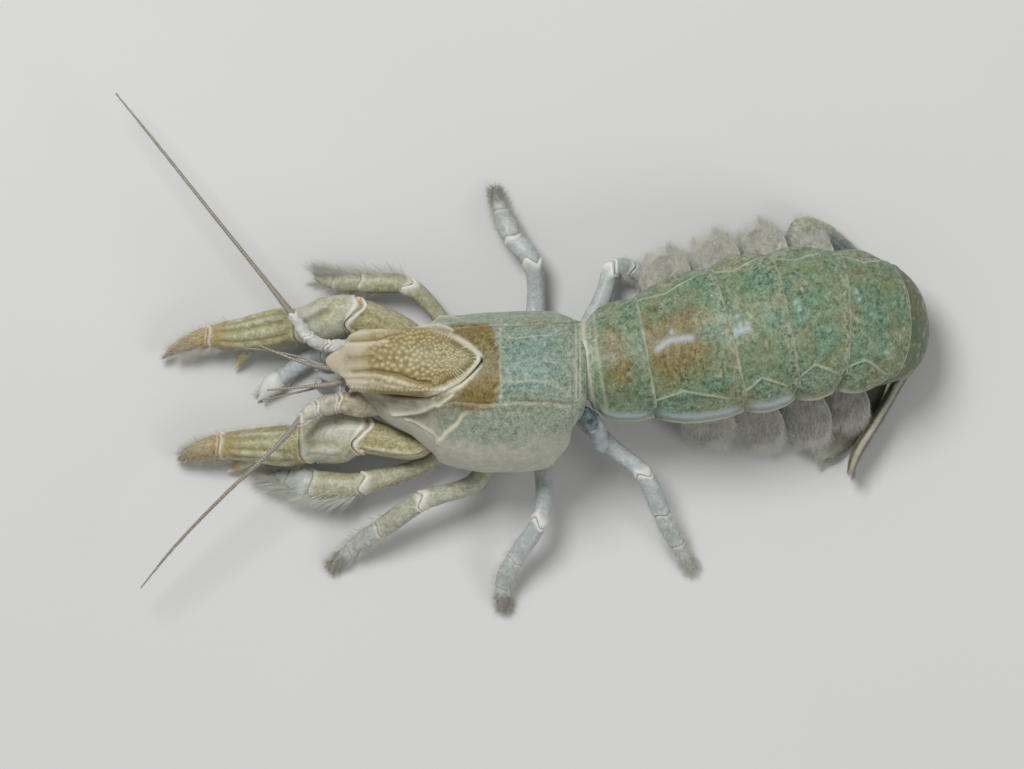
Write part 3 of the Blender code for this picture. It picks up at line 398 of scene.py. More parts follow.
def upright(roll, count):
    """Along, across and above for sections square to X that lean by the roll."""
    turn = math.radians(roll)
    vectors = (1, 0, 0), (0, math.cos(turn), -math.sin(turn)), (0, math.sin(turn), math.cos(turn))
    return tuple(np.tile(np.array(vector, dtype=float), (count, 1)) for vector in vectors)


def rough(points, size, seed):
    """Smooth noise between -1 and 1 over points in millimetres, with waves of the given size."""
    cells = points / size
    base = np.floor(cells).astype(np.int64)
    part = cells - base
    part = part * part * (3 - 2 * part)
    total = np.zeros(points.shape[:-1])
    for corner in range(8):
        step = np.array((corner & 1, corner >> 1 & 1, corner >> 2 & 1))
        cell = base + step
        key = cell[..., 0] * 73856093 ^ cell[..., 1] * 19349663 ^ cell[..., 2] * 83492791 ^ seed * 2654435
        value = (key * 1103515245 + 12345 >> 8) % 65536 / 32768 - 1
        weight = np.where(step, part, 1 - part).prod(axis=-1)
        total += value * weight
    return total


class Skin:
    """A surface laid on sections: its rows run along the form and its columns round it."""

    def __init__(self, points, turns, share):
        self.points = points
        self.turn = np.ones((len(points), 1)) * turns
        self.share = share[:, None] * np.ones(len(turns))
        self.marks = {}
        self.look()

    def look(self):
        """Works out the way that each point faces."""
        along = np.gradient(self.points, axis=0)
        round_it = np.roll(self.points, -1, axis=1) - np.roll(self.points, 1, axis=1)
        self.normals = unit(np.cross(along, round_it))

    def lift(self, amount):
        """Moves each point out by an amount in millimetres."""
        self.points = self.points + self.normals * amount[..., None]
        self.look()

    def mark(self, name, amount):
        """Raises a mask, which a finish reads by its name, to the amount where it is lower."""
        old = self.marks.get(name, np.zeros(self.share.shape))
        self.marks[name] = np.clip(np.maximum(old, amount), 0.0, 1.0)

    def up(self):
        """1 where the surface is seen from above."""
        return fade(self.normals[..., 2], 0.0, 0.25)


# The rings of points in each cap of a loft.
CAP_RINGS = 5


def lofted(rows, cols, square=1.0, flare=0.0, caps=(0.3, 0.3), ways=None):
    """A closed skin through sections at the rows, with a rounded cap at each end."""
    along, across, above = ways or directions(rows)
    turns = 2 * np.pi * np.arange(cols) / cols
    cos, sin = np.cos(turns), np.sin(turns)
    high = np.sign(cos) * np.abs(cos) ** square
    wide = np.sign(sin) * np.abs(sin) ** square * (1 - flare * cos)
    points = (
        rows[:, None, :3]
        + across[:, None] * (rows[:, 3:4] * wide)[..., None]
        + above[:, None] * (rows[:, 4:5] * high)[..., None]
    )
    share = np.linspace(0, 1, len(rows))
    parts, shares = [points], [share]
    angles = np.linspace(0, np.pi / 2, CAP_RINGS + 1)[1:]
    for end, way, depth in ((0, -1, caps[0]), (-1, 1, caps[1])):
        rim = points[end]
        middle = rim.mean(axis=0)
        cap = np.array([
            middle + (rim - middle) * math.cos(a) + along[end] * way * depth * math.sin(a) for a in angles
        ])
        if end == 0:
            parts.insert(0, cap[::-1])
            shares.insert(0, np.zeros(len(angles)))
        else:
            parts.append(cap)
            shares.append(np.ones(len(angles)))
    degrees = np.degrees(turns)
    degrees = np.where(degrees > 180, degrees - 360, degrees)
    return Skin(np.concatenate(parts), degrees, np.concatenate(shares))


def plan_distance(flat, line):
    """How far each point of a plan lies from a line of points."""
    best = np.full(flat.shape[:-1], 1e9)
    for start, end in zip(np.array(line[:-1], dtype=float), np.array(line[1:], dtype=float)):
        span = end - start
        part = np.clip(((flat - start) @ span) / max(span @ span, 1e-9), 0.0, 1.0)
        best = np.minimum(best, np.linalg.norm(flat - start - part[..., None] * span, axis=-1))
    return best


def stroke(flat, line, width):
    """A soft stroke of height 1 along a line of the plan."""
    return np.exp(-((plan_distance(flat, line) / width) ** 2))


def spot_at(flat, spot, radius):
    """A soft round spot of height 1 in the plan."""
    return np.exp(-(((flat - np.array(spot)) ** 2).sum(axis=-1)) / radius**2)


def beads(flat, line, step, radius):
    """Soft round hills of height 1 in a row along a line of the plan."""
    spots = []
    left = 0.0
    for start, end in zip(np.array(line[:-1], dtype=float), np.array(line[1:], dtype=float)):
        length = np.linalg.norm(end - start)
        while left < length:
            spots.append(start + (end - start) * left / length)
            left += step
        left -= length
    height = np.zeros(flat.shape[:-1])
    for spot in spots:
        height = np.maximum(height, spot_at(flat, spot, radius))
    return height


def face_outwards(bm):
    """Turns every face of a closed bmesh outwards."""
    bmesh.ops.recalc_face_normals(bm, faces=bm.faces[:])
    if bm.calc_volume(signed=True) < 0:
        bmesh.ops.reverse_faces(bm, faces=bm.faces[:])


def object_of(name, bm):
    """The bmesh as a smooth object of the scene."""
    mesh = bpy.data.meshes.new(name)
    bm.to_mesh(mesh)
    bm.free()
    mesh.shade_smooth()
    item = bpy.data.objects.new(name, mesh)
    bpy.context.scene.collection.objects.link(item)
    return item


def skinned(name, skin):
    """The skin as an object, made from a grid rolled into a tube, with its marks as attributes."""
    rows, cols = skin.share.shape
    bm = bmesh.new()
    bm.loops.layers.uv.new("Lay")
    bmesh.ops.create_grid(bm, x_segments=cols, y_segments=rows - 1, size=1.0, calc_uvs=True)
    layers = [bm.verts.layers.float.new(key) for key in skin.marks]
    points = np.concatenate([skin.points, skin.points[:, :1]], axis=1).reshape(-1, 3) * MM
    columns = [np.concatenate([mark, mark[:, :1]], axis=1).ravel() for mark in skin.marks.values()]
    for k, vert in enumerate(bm.verts):
        vert.co = points[k]
        for layer, column in zip(layers, columns):
            vert[layer] = column[k]
    bmesh.ops.remove_doubles(bm, verts=bm.verts[:], dist=WELD)
    rims = [edge for edge in bm.edges if edge.is_boundary]
    if rims:
        bmesh.ops.holes_fill(bm, edges=rims, sides=0)
    face_outwards(bm)
    return object_of(name, bm)


def finished(item, material, slot, *nodes):
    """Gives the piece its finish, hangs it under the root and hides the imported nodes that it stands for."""
    item.data.materials.append(material)
    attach(item, "root")
    if nodes:
        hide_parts(*nodes)
    return item


def laid(name, skin, material, slot, node):
    """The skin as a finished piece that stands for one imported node."""
    return finished(skinned(name, skin), material, slot, node)


class Bench:
    """Adds and joins the nodes of one material or node group."""

    def __init__(self, tree):
        self.tree = tree

    def node(self, kind, **settings):
        """A new node with its settings."""
        made = self.tree.nodes.new(kind)
        for key, value in settings.items():
            setattr(made, key, value)
        return made

    def put(self, source, target):
        """Joins an output to an input, or sets the input to a plain value."""
        if isinstance(source, bpy.types.NodeSocket):
            self.tree.links.new(source, target)
        else:
            target.default_value = source

    def sum(self, operation, *values):
        """A Math node."""
        made = self.node("ShaderNodeMath", operation=operation)
        for value, target in zip(values, made.inputs):
            self.put(value, target)
        return made.outputs[0]

    def mask(self, value, low, high):
        """0 below low and 1 above high, with a smooth passage."""
        made = self.node("ShaderNodeMapRange", interpolation_type="SMOOTHSTEP")
        for source, target in zip((value, low, high, 0.0, 1.0), made.inputs):
            self.put(source, target)
        return made.outputs[0]

    def mix(self, factor, one, two):
        """A mix of two colours."""
        made = self.node("ShaderNodeMix", data_type="RGBA")
        for value, number in ((factor, 0), (one, 6), (two, 7)):
            if not isinstance(value, (float, bpy.types.NodeSocket)):
                value = (*value, 1.0)
            self.put(value, made.inputs[number])
        return made.outputs[2]

    def attribute(self, name):
        """The mask of that name on the piece."""
        return self.node("ShaderNodeAttribute", attribute_name=name).outputs["Fac"]

    def noise(self, place, scale, detail=2.0, roughness=0.5):
        """A Noise Texture."""
        made = self.node("ShaderNodeTexNoise")
        self.put(place, made.inputs["Vector"])
        self.put(scale, made.inputs["Scale"])
        made.inputs["Detail"].default_value = detail
        made.inputs["Roughness"].default_value = roughness
        return made


def mottling():
    """The group that draws the shell's network of threads, its clouds and its grain."""
    tree = bpy.data.node_groups.get("Shell Mottling")
    if tree:
        return tree
    tree = bpy.data.node_groups.new("Shell Mottling", "ShaderNodeTree")
    tree.interface.new_socket("Vector", in_out="INPUT", socket_type="NodeSocketVector")
    tree.interface.new_socket("Scale", in_out="INPUT", socket_type="NodeSocketFloat")
    for name in ("Threads", "Clouds", "Grain"):
        tree.interface.new_socket(name, in_out="OUTPUT", socket_type="NodeSocketFloat")
    bench = Bench(tree)
    given = bench.node("NodeGroupInput")
    result = bench.node("NodeGroupOutput")
    place, scale = given.outputs["Vector"], given.outputs["Scale"]

    def layer(vector, share, detail, roughness=0.5):
        """Noise at a share of the group's scale."""
        return bench.noise(vector, bench.sum("MULTIPLY", scale, share), detail, roughness)

    bent = layer(place, 0.9, 2.0)
    shift = bench.node("ShaderNodeVectorMath", operation="SUBTRACT")
    bench.put(bent.outputs["Color"], shift.inputs[0])
    shift.inputs[1].default_value = (0.5, 0.5, 0.5)
    swing = bench.node("ShaderNodeVectorMath", operation="SCALE")
    bench.put(shift.outputs[0], swing.inputs[0])
    bench.put(bench.sum("DIVIDE", 0.9, scale), swing.inputs["Scale"])
    moved = bench.node("ShaderNodeVectorMath", operation="ADD")
    bench.put(place, moved.inputs[0])
    bench.put(swing.outputs[0], moved.inputs[1])
    patches = layer(moved.outputs[0], 0.62, 4.0, 0.62)
    flecks = layer(moved.outputs[0], 1.5, 3.0, 0.6)
    waves = layer(moved.outputs[0], 0.45, 3.0, 0.62)
    band = bench.sum("ABSOLUTE", bench.sum("SUBTRACT", waves.outputs["Fac"], 0.5))
    veins = bench.mask(band, 0.045, 0.0)
    threads = bench.sum("MULTIPLY", bench.mask(patches.outputs["Fac"], 0.36, 0.66), 0.55)
    threads = bench.sum("MULTIPLY_ADD", bench.mask(flecks.outputs["Fac"], 0.42, 0.66), 0.5, threads)
    threads = bench.sum("MAXIMUM", threads, bench.sum("MULTIPLY", veins, 0.62))
    bench.put(threads, result.inputs["Threads"])
    clouds = layer(place, 0.16, 3.0, 0.55)
    bench.put(bench.mask(clouds.outputs["Fac"], 0.38, 0.66), result.inputs["Clouds"])
    grain = layer(place, 3.0, 3.0, 0.65)
    bench.put(grain.outputs["Fac"], result.inputs["Grain"])
    return tree


def new_material(name):
    """A material with the bench for its nodes and its shader."""
    material = bpy.data.materials.new(name)
    material.use_nodes = True
    return material, Bench(material.node_tree), material.node_tree.nodes["Principled BSDF"]


def shell_finish(name, dark, light, layers, cell=0.7, stretch=(1, 1, 1), relief=(0.4, 0.3),
                 contrast=1.0, clouds=None, gloss=0.42, flesh=0.0, striae=0.0):
    """A shell finish: a network of two tones, layers of marks over it, and a fine relief.

    Each layer has the mark's name, its dark and light tone and its strength. The relief gives the
    weight of threads and grain in the bump. Striae are fine ridges along the mark of that name.
    """
    material, bench, shader = new_material(name)
    place = bench.node("ShaderNodeTexCoord")
    mapping = bench.node("ShaderNodeMapping")
    mapping.inputs["Scale"].default_value = stretch
    bench.put(place.outputs["Object"], mapping.inputs["Vector"])
    group = bench.node("ShaderNodeGroup", node_tree=mottling())
    bench.put(mapping.outputs[0], group.inputs["Vector"])
    group.inputs["Scale"].default_value = 1 / (cell * MM)
    threads = bench.sum("MULTIPLY", group.outputs["Threads"], contrast)
    colour = bench.mix(threads, dark, light)
    if clouds:
        cloud = bench.sum("MULTIPLY", group.outputs["Clouds"], clouds[1])
        colour = bench.mix(cloud, colour, clouds[0])
    for mark, low, high, strength in layers:
        mask = bench.sum("MULTIPLY", bench.attribute(mark), strength)
        over = bench.mix(threads, low, high) if low != high else high
        colour = bench.mix(mask, colour, over)
    bench.put(colour, shader.inputs["Base Color"])
    grain = group.outputs["Grain"]
    bench.put(bench.sum("MULTIPLY_ADD", grain, 0.3, gloss - 0.15), shader.inputs["Roughness"])
    height = bench.sum("MULTIPLY", group.outputs["Threads"], relief[0])
    height = bench.sum("MULTIPLY_ADD", grain, relief[1], height)
    if striae:
        lay = bench.node("ShaderNodeUVMap", uv_map="Lay")
        wave = bench.node("ShaderNodeTexWave", wave_type="BANDS", bands_direction="Y")
        bench.put(lay.outputs[0], wave.inputs["Vector"])
        wave.inputs["Scale"].default_value = striae
        wave.inputs["Distortion"].default_value = 1.2
        wave.inputs["Detail Scale"].default_value = 3.0
        lines = bench.sum("MULTIPLY", wave.outputs["Fac"], bench.attribute("striae"))
        height = bench.sum("MULTIPLY_ADD", lines, 0.4, height)
    bump = bench.node("ShaderNodeBump")
    bump.inputs["Strength"].default_value = 0.8
    bump.inputs["Distance"].default_value = 0.00012
    bench.put(height, bump.inputs["Height"])
    bench.put(bump.outputs[0], shader.inputs["Normal"])
    shader.inputs["IOR"].default_value = 1.45
    if flesh:
        shader.inputs["Subsurface Weight"].default_value = flesh
        shader.inputs["Subsurface Radius"].default_value = (1.0, 0.85, 0.7)
        shader.inputs["Subsurface Scale"].default_value = 0.0008
    return material


# Lines of the head shield seen from above.
SHIELD_FURROWS = (
    ((-25.9, 2.3), (-22.1, 2.5), (-18.8, 3.5)),
    ((-25.5, -2.6), (-22.1, -2.3), (-18.6, -2.9), (-15.9, -4.0), (-14.1, -4.1)),
)
SHIELD_RIDGES = (
    ((-26.4, 3.1), (-22.8, 3.5), (-18.6, 4.0)),
    ((-26.7, 1.6), (-23.7, 1.6), (-20.7, 2.0)),
    ((-27.0, -3.1), (-23.7, -2.9), (-19.8, -3.5), (-16.5, -4.7)),
    ((-26.2, -4.0), (-22.5, -4.1), (-18.6, -4.7)),
)
SHIELD_SEAM = ((-26.2, -0.5), (-22.2, -0.2))
SHIELD_BEADS = (
    ((-19.2, 4.1), (-15.6, 4.3), (-12.6, 4.0)),
    ((-25.5, -4.7), (-21.6, -5.0), (-17.1, -5.2), (-11.7, -5.0)),
    ((-21.0, -3.8), (-18.3, -4.3), (-15.0, -4.9)),
)
# The back of the shield as drawn here: X and half width.
SHIELD_BACK = (
    (-14.6, 5.0), (-13.0, 4.75), (-11.8, 4.4), (-9.6, 3.4), (-8.7, 2.7), (-7.8, 1.85), (-7.0, 0.95),
    (-6.5, 0.3),
)
# How far the shield reaches out over its right edge: X and millimetres.
SHIELD_REACH = (
    (-27.4, 0.0), (-26.4, 0.9), (-24.6, 1.5), (-21.6, 1.5), (-18.6, 1.1), (-15.6, 1.1), (-12.6, 0.7),
    (-9.6, 0.0),
)

# Lines of the carapace seen from above.
CARAPACE_LINES = {
    "rod": ((-19.6, -8.8), (-17.1, -8.9), (-14.1, -7.9), (-10.7, -6.1)),
    "front": ((-17.7, -9.7), (-15.0, -10.9), (-12.6, -12.4)),
    "flank": (
        (-12.9, -13.0), (-11.5, -11.5), (-10.0, -10.3), (-9.2, -8.9), (-6.8, -7.9), (-3.6, -7.4),
        (-0.8, -7.3), (3.1, -7.4), (6.9, -7.7), (8.8, -8.6), (10.0, -10.3),
    ),
    "linea": ((-13.2, -7.0), (-10.3, -7.1), (-5.1, -7.3), (-0.6, -7.0), (3.6, -7.0), (8.1, -7.3)),
    "cheek": ((-24.9, -6.4), (-20.8, -6.8), (-16.3, -7.0), (-11.1, -5.8)),
    "heart": ((-4.0, -5.2), (-2.9, -4.1), (0.9, -3.8), (3.6, -4.1), (6.6, -5.5)),
    "corners": ((-2.9, 4.6), (-3.6, -6.2)),
    "hollow": ((-16.8, -9.8), (-14.4, -9.1), (-12.2, -8.6), (-10.3, -7.4)),
}
# The middle of the back in degrees round the trunk, and the way round in millimetres to a degree.
TRUNK_MIDDLE = 6.5
TRUNK_ARC = 0.19

# The lights: place, width and share of the key light's power.
LIGHTS = {
    "Key Light": ((-0.25, 0.35, 0.75), 0.35, 1.0),
    "Side Light": ((0.55, -0.3, 0.45), 0.3, 0.22),
}
BACK_HEIGHT = 0.012


class SHRIMP_OT_stage(bpy.types.Operator):
    """Makes the floor, the camera and the soft light"""

    bl_idname = "shrimp.stage"
    bl_label = "Stage"

    def execute(self, context):
        sizes = context.scene.shrimp_stage
        bm = bmesh.new()
        bmesh.ops.create_grid(bm, x_segments=1, y_segments=1, size=sizes.floor / 2)
        floor = object_of("floor", bm)
        material, bench, shader = new_material("Pale Floor")
        place = bench.node("ShaderNodeTexCoord")
        cloud = bench.noise(place.outputs["Object"], 9.0, 3.0)
        colour = bench.mix(cloud.outputs["Fac"], tone(206, 207, 206), tone(214, 214, 212))
        bench.put(colour, shader.inputs["Base Color"])
        shader.inputs["Roughness"].default_value = 0.8
        floor.data.materials.append(material)
        floor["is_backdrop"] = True

        view = bpy.data.cameras.new("Camera")
        view.sensor_width = 36.0
        view.clip_start, view.clip_end = 0.05, 10.0
        view.lens = view.sensor_width * (sizes.camera_height - BACK_HEIGHT) / sizes.view_width
        camera = bpy.data.objects.new("Camera", view)
        camera.location = (sizes.view_x, sizes.view_y, sizes.camera_height)
        context.scene.collection.objects.link(camera)
        context.scene.camera = camera

        for name, (place, width, share) in LIGHTS.items():
            light = bpy.data.lights.new(name, "AREA")
            light.shape = "DISK"
            light.size = width
            light.energy = sizes.key_power * share
            lamp = bpy.data.objects.new(name, light)
            lamp.location = place
            lamp.rotation_euler = (-Vector(place)).to_track_quat("-Z", "Y").to_euler()
            context.scene.collection.objects.link(lamp)
        world = bpy.data.worlds.new("Soft Room")
        world.use_nodes = True
        ground = world.node_tree.nodes["Background"]
        ground.inputs["Color"].default_value = (1.0, 1.0, 1.0, 1.0)
        ground.inputs["Strength"].default_value = sizes.fill
        context.scene.world = world
        context.scene.view_settings.view_transform = "Standard"
        return {"FINISHED"}


def shield_sizes(x):
    """The shield's keel height, half width, thickness and middle Y at each X."""
    rows = np.array(SHIELD)
    keel, half, thick = (np.interp(x, rows[:, 0], rows[:, k], left=0.0, right=0.0) for k in (1, 2, 3))
    reach = np.interp(x, *np.array(SHIELD_REACH).T) / 2
    middle = np.interp(x, (rows[0, 0], rows[-1, 0]), SHIELD_Y) + reach
    half = np.where(x > SHIELD_BACK[0][0], np.interp(x, *np.array(SHIELD_BACK).T), half)
    return keel, half + reach, thick, middle


def trunk_skin(cols, per_span):
    """The trunk's skin, pulled in under the head and drawn forward at its lower hind corner."""
    rows = blended(TRUNK, per_span)
    skin = lofted(rows, cols, TRUNK_SQUARE, TRUNK_FLARE, (0.9, 0.4), upright(TRUNK_ROLL, len(rows)))
    x, down = skin.points[..., 0], np.abs(skin.turn - TRUNK_MIDDLE) * TRUNK_ARC
    snout = fade(x, -12.6, -18.0) * fade(down, 9.0, 15.0) * (0.55 + 0.45 * fade(skin.turn, 0.0, -20.0))
    drawn = fade(x, 2.5, 9.0) * fade(down, 10.5, 19.0)
    skin.lift(-snout * 1.3)
    skin.points[..., 0] -= drawn * 2.4
    skin.points[..., 2] += drawn * 0.5
    skin.look()
    return skin


def unrolled(skin):
    """A plan of the trunk that is alike on both sides: X, and the way round from the back in millimetres."""
    return np.stack([skin.points[..., 0], np.abs(skin.turn - TRUNK_MIDDLE) * TRUNK_ARC], axis=-1)


def unrolled_line(skin, line):
    """A line seen from above, on the same plan."""
    plan = unrolled(skin)
    seen = (skin.normals[..., 2] > 0.05) & (skin.turn < 90)
    places = skin.points[seen][:, :2]
    plan = plan[seen]
    return [plan[np.argmin(((places - np.array(point)) ** 2).sum(axis=1))] for point in line]


def mark_cheek(skin, cheek):
    """The mottling of the left cheek."""
    left = fade(skin.turn, 0.0, -20.0)
    clouds = rough(skin.points, 1.3, 17) + 0.5 * rough(skin.points, 0.45, 18)
    skin.mark("brown", cheek * (0.7 + 0.3 * fade(clouds, -0.3, 0.7)) * left)
    skin.mark("dark", cheek * fade(clouds, 0.2, 0.9) * 0.6)
    speck = fade(rough(skin.points, 0.35, 19), 0.45, 0.7) * cheek
    skin.mark("pale", speck * 0.5)


def carapace_skin():
    """The carapace with the seat of the shield, its grooves, rims and colour marks."""
    skin = trunk_skin(300, 22)
    flat = unrolled(skin)
    lines = {name: unrolled_line(skin, line) for name, line in CARAPACE_LINES.items()}
    x = skin.points[..., 0]
    round_it = flat[..., 1]
    _, half, _, middle = shield_sizes(x)
    lean = math.radians(TRUNK_ROLL)
    out = (skin.points[..., 1] - middle) * math.cos(lean)
    keel = np.interp(x, [row[0] for row in SHIELD], [row[1] for row in SHIELD])
    out = out - (skin.points[..., 2] - keel) * math.sin(lean)
    inside = half + 0.15 - np.abs(out)
    inside = np.where((x > SHIELD[0][0]) & (x < SHIELD[-1][0] + 0.3), inside, -5.0)
    top = fade(-round_it, -12.0, -10.0)
    seat = fade(inside, -0.05, 0.6) * top
    skin.mark("seat", seat)
    grooves = stroke(flat, lines["linea"], 0.22) * 0.16
    rim = stroke(flat, lines["flank"], 0.3) * (1 + 0.8 * fade(x, -8.5, -10.5))
    rod = stroke(flat, lines["rod"], 0.38)
    front = stroke(flat, lines["front"], 0.3)
    behind = bump_at(x, 7.35, 0.22)
    collar = fade(x, 7.4, 7.9)
    below = fade(round_it, 7.2, 8.2)
    hollow = fade(x, -12.6, -14.6) * below * fade(round_it, 17.0, 15.0)
    left = fade(skin.turn, 0.0, -20.0)
    pit = stroke(flat, lines["hollow"], 1.5) * left
    snout = fade(x, -12.6, -18.0) * fade(round_it, 9.0, 15.0) * left
    amount = (
        -seat * 1.5 - grooves + rim * 0.13 + rod * 0.5 + front * 0.25 - behind * 0.16 - collar * 0.12
        - hollow * 0.25 - pit * 0.35 + stroke(flat, lines["heart"], 0.3) * 0.05
        + rough(skin.points, 3.0, 3) * 0.06
    )
    ragged = rough(skin.points, 1.1, 61) * 0.5 + rough(skin.points, 0.4, 62) * 0.25
    bowed = x + 0.05 * (skin.points[..., 1] + 2.0) ** 2
    band = fade(x + ragged, -12.4, -10.2) * fade(bowed + ragged, -2.8, -3.8) * fade(inside, -0.6, -1.0)
    band = band * (1 - 0.35 * np.exp(-(((skin.points[..., 1] + 0.4) / 2.4) ** 2)))
    side = fade(round_it + ragged, 9.4, 8.2)
    ahead = fade(x, -6.5, -8.5)
    skin.lift(amount)
    skin.mark("ochre", side * band * (1.1 + 0.3 * ragged))
    skin.mark("ochre", side * ahead * fade(round_it, 8.6, 7.6) * fade(x, -20.0, -14.0) * 0.6)
    below_heart = bump_at(round_it, 8.4, 1.0) * fade(x, -4.0, -3.0) * fade(x, 6.0, 2.0)
    skin.mark("ochre", below_heart * fade(ragged, -0.2, 0.4) * 0.5)
    heart = np.exp(-(((x - 0.8) / 4.6) ** 4) - ((flat[..., 1] / 6.6) ** 4))
    skin.mark("blue", heart * (0.7 + 0.5 * ragged) * fade(bowed, -3.9, -3.1))
    skin.mark("green", side * fade(bowed, -3.9, -3.1) * 0.55)
    speckled = 0.75 + 0.25 * fade(rough(skin.points, 0.7, 27), -0.2, 0.5)
    skin.mark("low", fade(round_it + 1.5 * rough(skin.points, 1.6, 28), 11.8, 17.0) * speckled)
    margin = bump_at(skin.points[..., 2], 10.6, 0.3) * fade(round_it, 16.0, 18.0)
    skin.lift(margin * 0.14)
    skin.mark("pale", margin * 0.6)
    skin.mark("low", fade(x, -12.0, -14.0) * fade(round_it, 6.4, 8.0) * 0.92)
    spots = np.minimum(1.0, sum(spot_at(flat, corner, 0.3) for corner in lines["corners"]))
    skin.mark("pale", rim * (0.2 + 0.75 * fade(x, -7.5, -10.5)) * (0.5 + 0.5 * left))
    skin.mark("pale", rod)
    skin.mark("pale", front * 0.8)
    skin.mark("pale", spots * 0.9)
    skin.mark("pale", stroke(flat, lines["linea"], 0.14) * 0.4)
    skin.mark("pale", stroke(flat + ragged[..., None] * 0.5, lines["heart"], 0.2) * 0.4)
    lines_behind = np.maximum(bump_at(x, 7.75, 0.11), bump_at(x, 8.35, 0.08))
    skin.mark("pale", lines_behind * 0.6 * fade(round_it, 9.6, 8.4))
    skin.mark("pale", bump_at(x, -3.55, 0.12) * side * 0.35)
    # Painted shade: a dark line on the carapace at the foot of the shield's front edge.
    skin.mark("dark", fade(inside, -0.45, -0.1) * top * fade(x, -13.0, -16.0))
    skin.mark("pale", bump_at(inside, -0.3, 0.5) * top * fade(x, -13.0, -10.0))
    skin.mark("brown", pit * (0.65 + 0.35 * fade(ragged, -0.2, 0.3)))
    skin.mark("brown", snout * fade(round_it, 15.0, 11.0) * (0.3 + 0.4 * fade(ragged, -0.3, 0.3)))
    mark_cheek(skin, stroke(flat, lines["cheek"], 1.5))
    above_rim = stroke(flat + np.array((0.0, 0.75)), lines["flank"], 0.35)
    skin.mark("dark", above_rim * fade(x, -12.5, -9.0) * 0.35)
    return skin


class SHRIMP_OT_carapace(bpy.types.Operator):
    """Makes the carapace and the underside between the legs"""

    bl_idname = "shrimp.carapace"
    bl_label = "Carapace"

    def execute(self, context):
        shell, limbs = context.scene.shrimp_shell, context.scene.shrimp_limbs
        finish = shell_finish(
            "Carapace Shell", shell.flank_dark, shell.flank_light,
            (
                ("green", shell.green_dark, shell.flank_light, 0.8),
                ("blue", shell.blue_dark, shell.blue_light, 0.9),
                ("ochre", shell.ochre_dark, shell.ochre_light, 1.0),
                ("low", shell.belly, shell.belly, 0.72),
                ("brown", limbs.soil, limbs.feeler, 0.85),
                ("pale", shell.pale, shell.pale, 0.9),
                ("dark", shell.ochre_dark, shell.ochre_dark, 0.75),
            ),
            cell=0.55, contrast=0.95, relief=(0.15, 0.35), flesh=0.12,
        )
        laid("carapace_shell", carapace_skin(), finish, "shell", "carapace")
        under = trunk_skin(120, 10)
        below = fade(-under.points[..., 2], -9.6, -8.4)
        along = under.points[..., 0]
        under.lift(-1.1 + below * (1.5 + 0.28 * np.cos(2 * np.pi * along / 4.2)))
        under.mark("low", np.ones(under.share.shape))
        under.mark("pale", below * bump_at(np.cos(np.pi * along / 4.2), 0.0, 0.12) * 0.8)
        laid("thorax_underside_skin", under, finish, "limb", "thorax_underside")
        return {"FINISHED"}


# The front of the shield as drawn here: X and half width.
SHIELD_FRONT = (
    (-29.6, 0.3), (-29.4, 0.62), (-29.0, 1.05), (-28.3, 1.6), (-27.5, 2.0), (-26.9, 2.3), (-26.5, 3.0),
    (-26.1, 3.6), (-25.6, 3.85), (-24.0, 4.2),
)
# The shield's columns of points, and the share of them that lies on its upper side.
SHIELD_COLS = 250
SHIELD_UPPER = 0.84
COBBLE_SPACES = (0.38, 0.98)
COBBLE_TRIES = 9000
COBBLE_SEED = 5


def cobbles(flat):
    """Rounded tubercles over the shield, larger on its left front, as heights between 0 and 1."""
    draw = np.random.default_rng(COBBLE_SEED)
    small, wide = COBBLE_SPACES
    x = flat[..., 0]
    spots = []
    for _ in range(COBBLE_TRIES):
        spot = np.array((draw.uniform(-24.5, -6.8), draw.uniform(-5.3, 4.6)))
        large = fade(spot[0], -10.0, -19.0) * (0.4 + 0.6 * fade(spot[1], 2.5, -1.5))
        space = small + (wide - small) * large * draw.uniform(0.5, 1.0)
        if all((spot[0] - a) ** 2 + (spot[1] - b) ** 2 > (space + c) ** 2 / 4 for a, b, c in spots):
            spots.append((spot[0], spot[1], space))
    height = np.zeros(x.shape)
    for a, b, space in spots:
        stretch = draw.uniform(0.85, 1.4)
        rows = np.abs(x[:, 0] - a) < 1.2
        near = ((x[rows] - a) / stretch) ** 2 + (flat[rows][..., 1] - b) ** 2
        height[rows] = np.maximum(height[rows], np.exp(-near / (space * 0.44) ** 2))
    return height


def shield_form():
    """The bare shield, with the way out from its keel at each point and its half width there."""
    rows = blended([(*row, 0.0) for row in SHIELD], 22)
    front_x, front_half = np.array(SHIELD_FRONT).T
    ahead = rows[:, 0] < front_x[-1]
    rows[ahead, 2] = np.interp(rows[ahead, 0], front_x, front_half)
    back_x, back_half = np.array(SHIELD_BACK).T
    behind = rows[:, 0] > back_x[0]
    rows[behind, 2] = np.interp(rows[behind, 0], back_x, back_half)
    reach = np.interp(rows[:, 0], *np.array(SHIELD_REACH).T) / 2
    rows[:, 2] += reach
    share = np.arange(SHIELD_COLS) / SHIELD_COLS
    turns = (share / SHIELD_UPPER - 0.5) * np.pi * 1.1
    low = (share - SHIELD_UPPER) / (1 - SHIELD_UPPER)
    turns = np.where(share >= SHIELD_UPPER, np.pi * 0.55 + low * np.pi * 0.9, turns)
    lean = math.radians(TRUNK_ROLL)
    across = np.array((0.0, math.cos(lean), -math.sin(lean)))
    above = np.array((0.0, math.sin(lean), math.cos(lean)))
    half = np.maximum(rows[:, 2:3], 0.05)
    out = half * np.sin(turns)
    level = -SHIELD_DROP * out**2 - rows[:, 3:4] / 2
    level = level + rows[:, 3:4] / 2 * np.sign(np.cos(turns)) * np.abs(np.cos(turns)) ** 0.6
    y = np.interp(rows[:, 0], (SHIELD[0][0], SHIELD[-1][0]), SHIELD_Y) + reach
    middle = np.stack([rows[:, 0], y, rows[:, 1]], axis=1)
    points = middle[:, None] + across * out[..., None] + above * level[..., None]
    return Skin(points, np.degrees(turns), np.linspace(0, 1, len(rows))), out, half


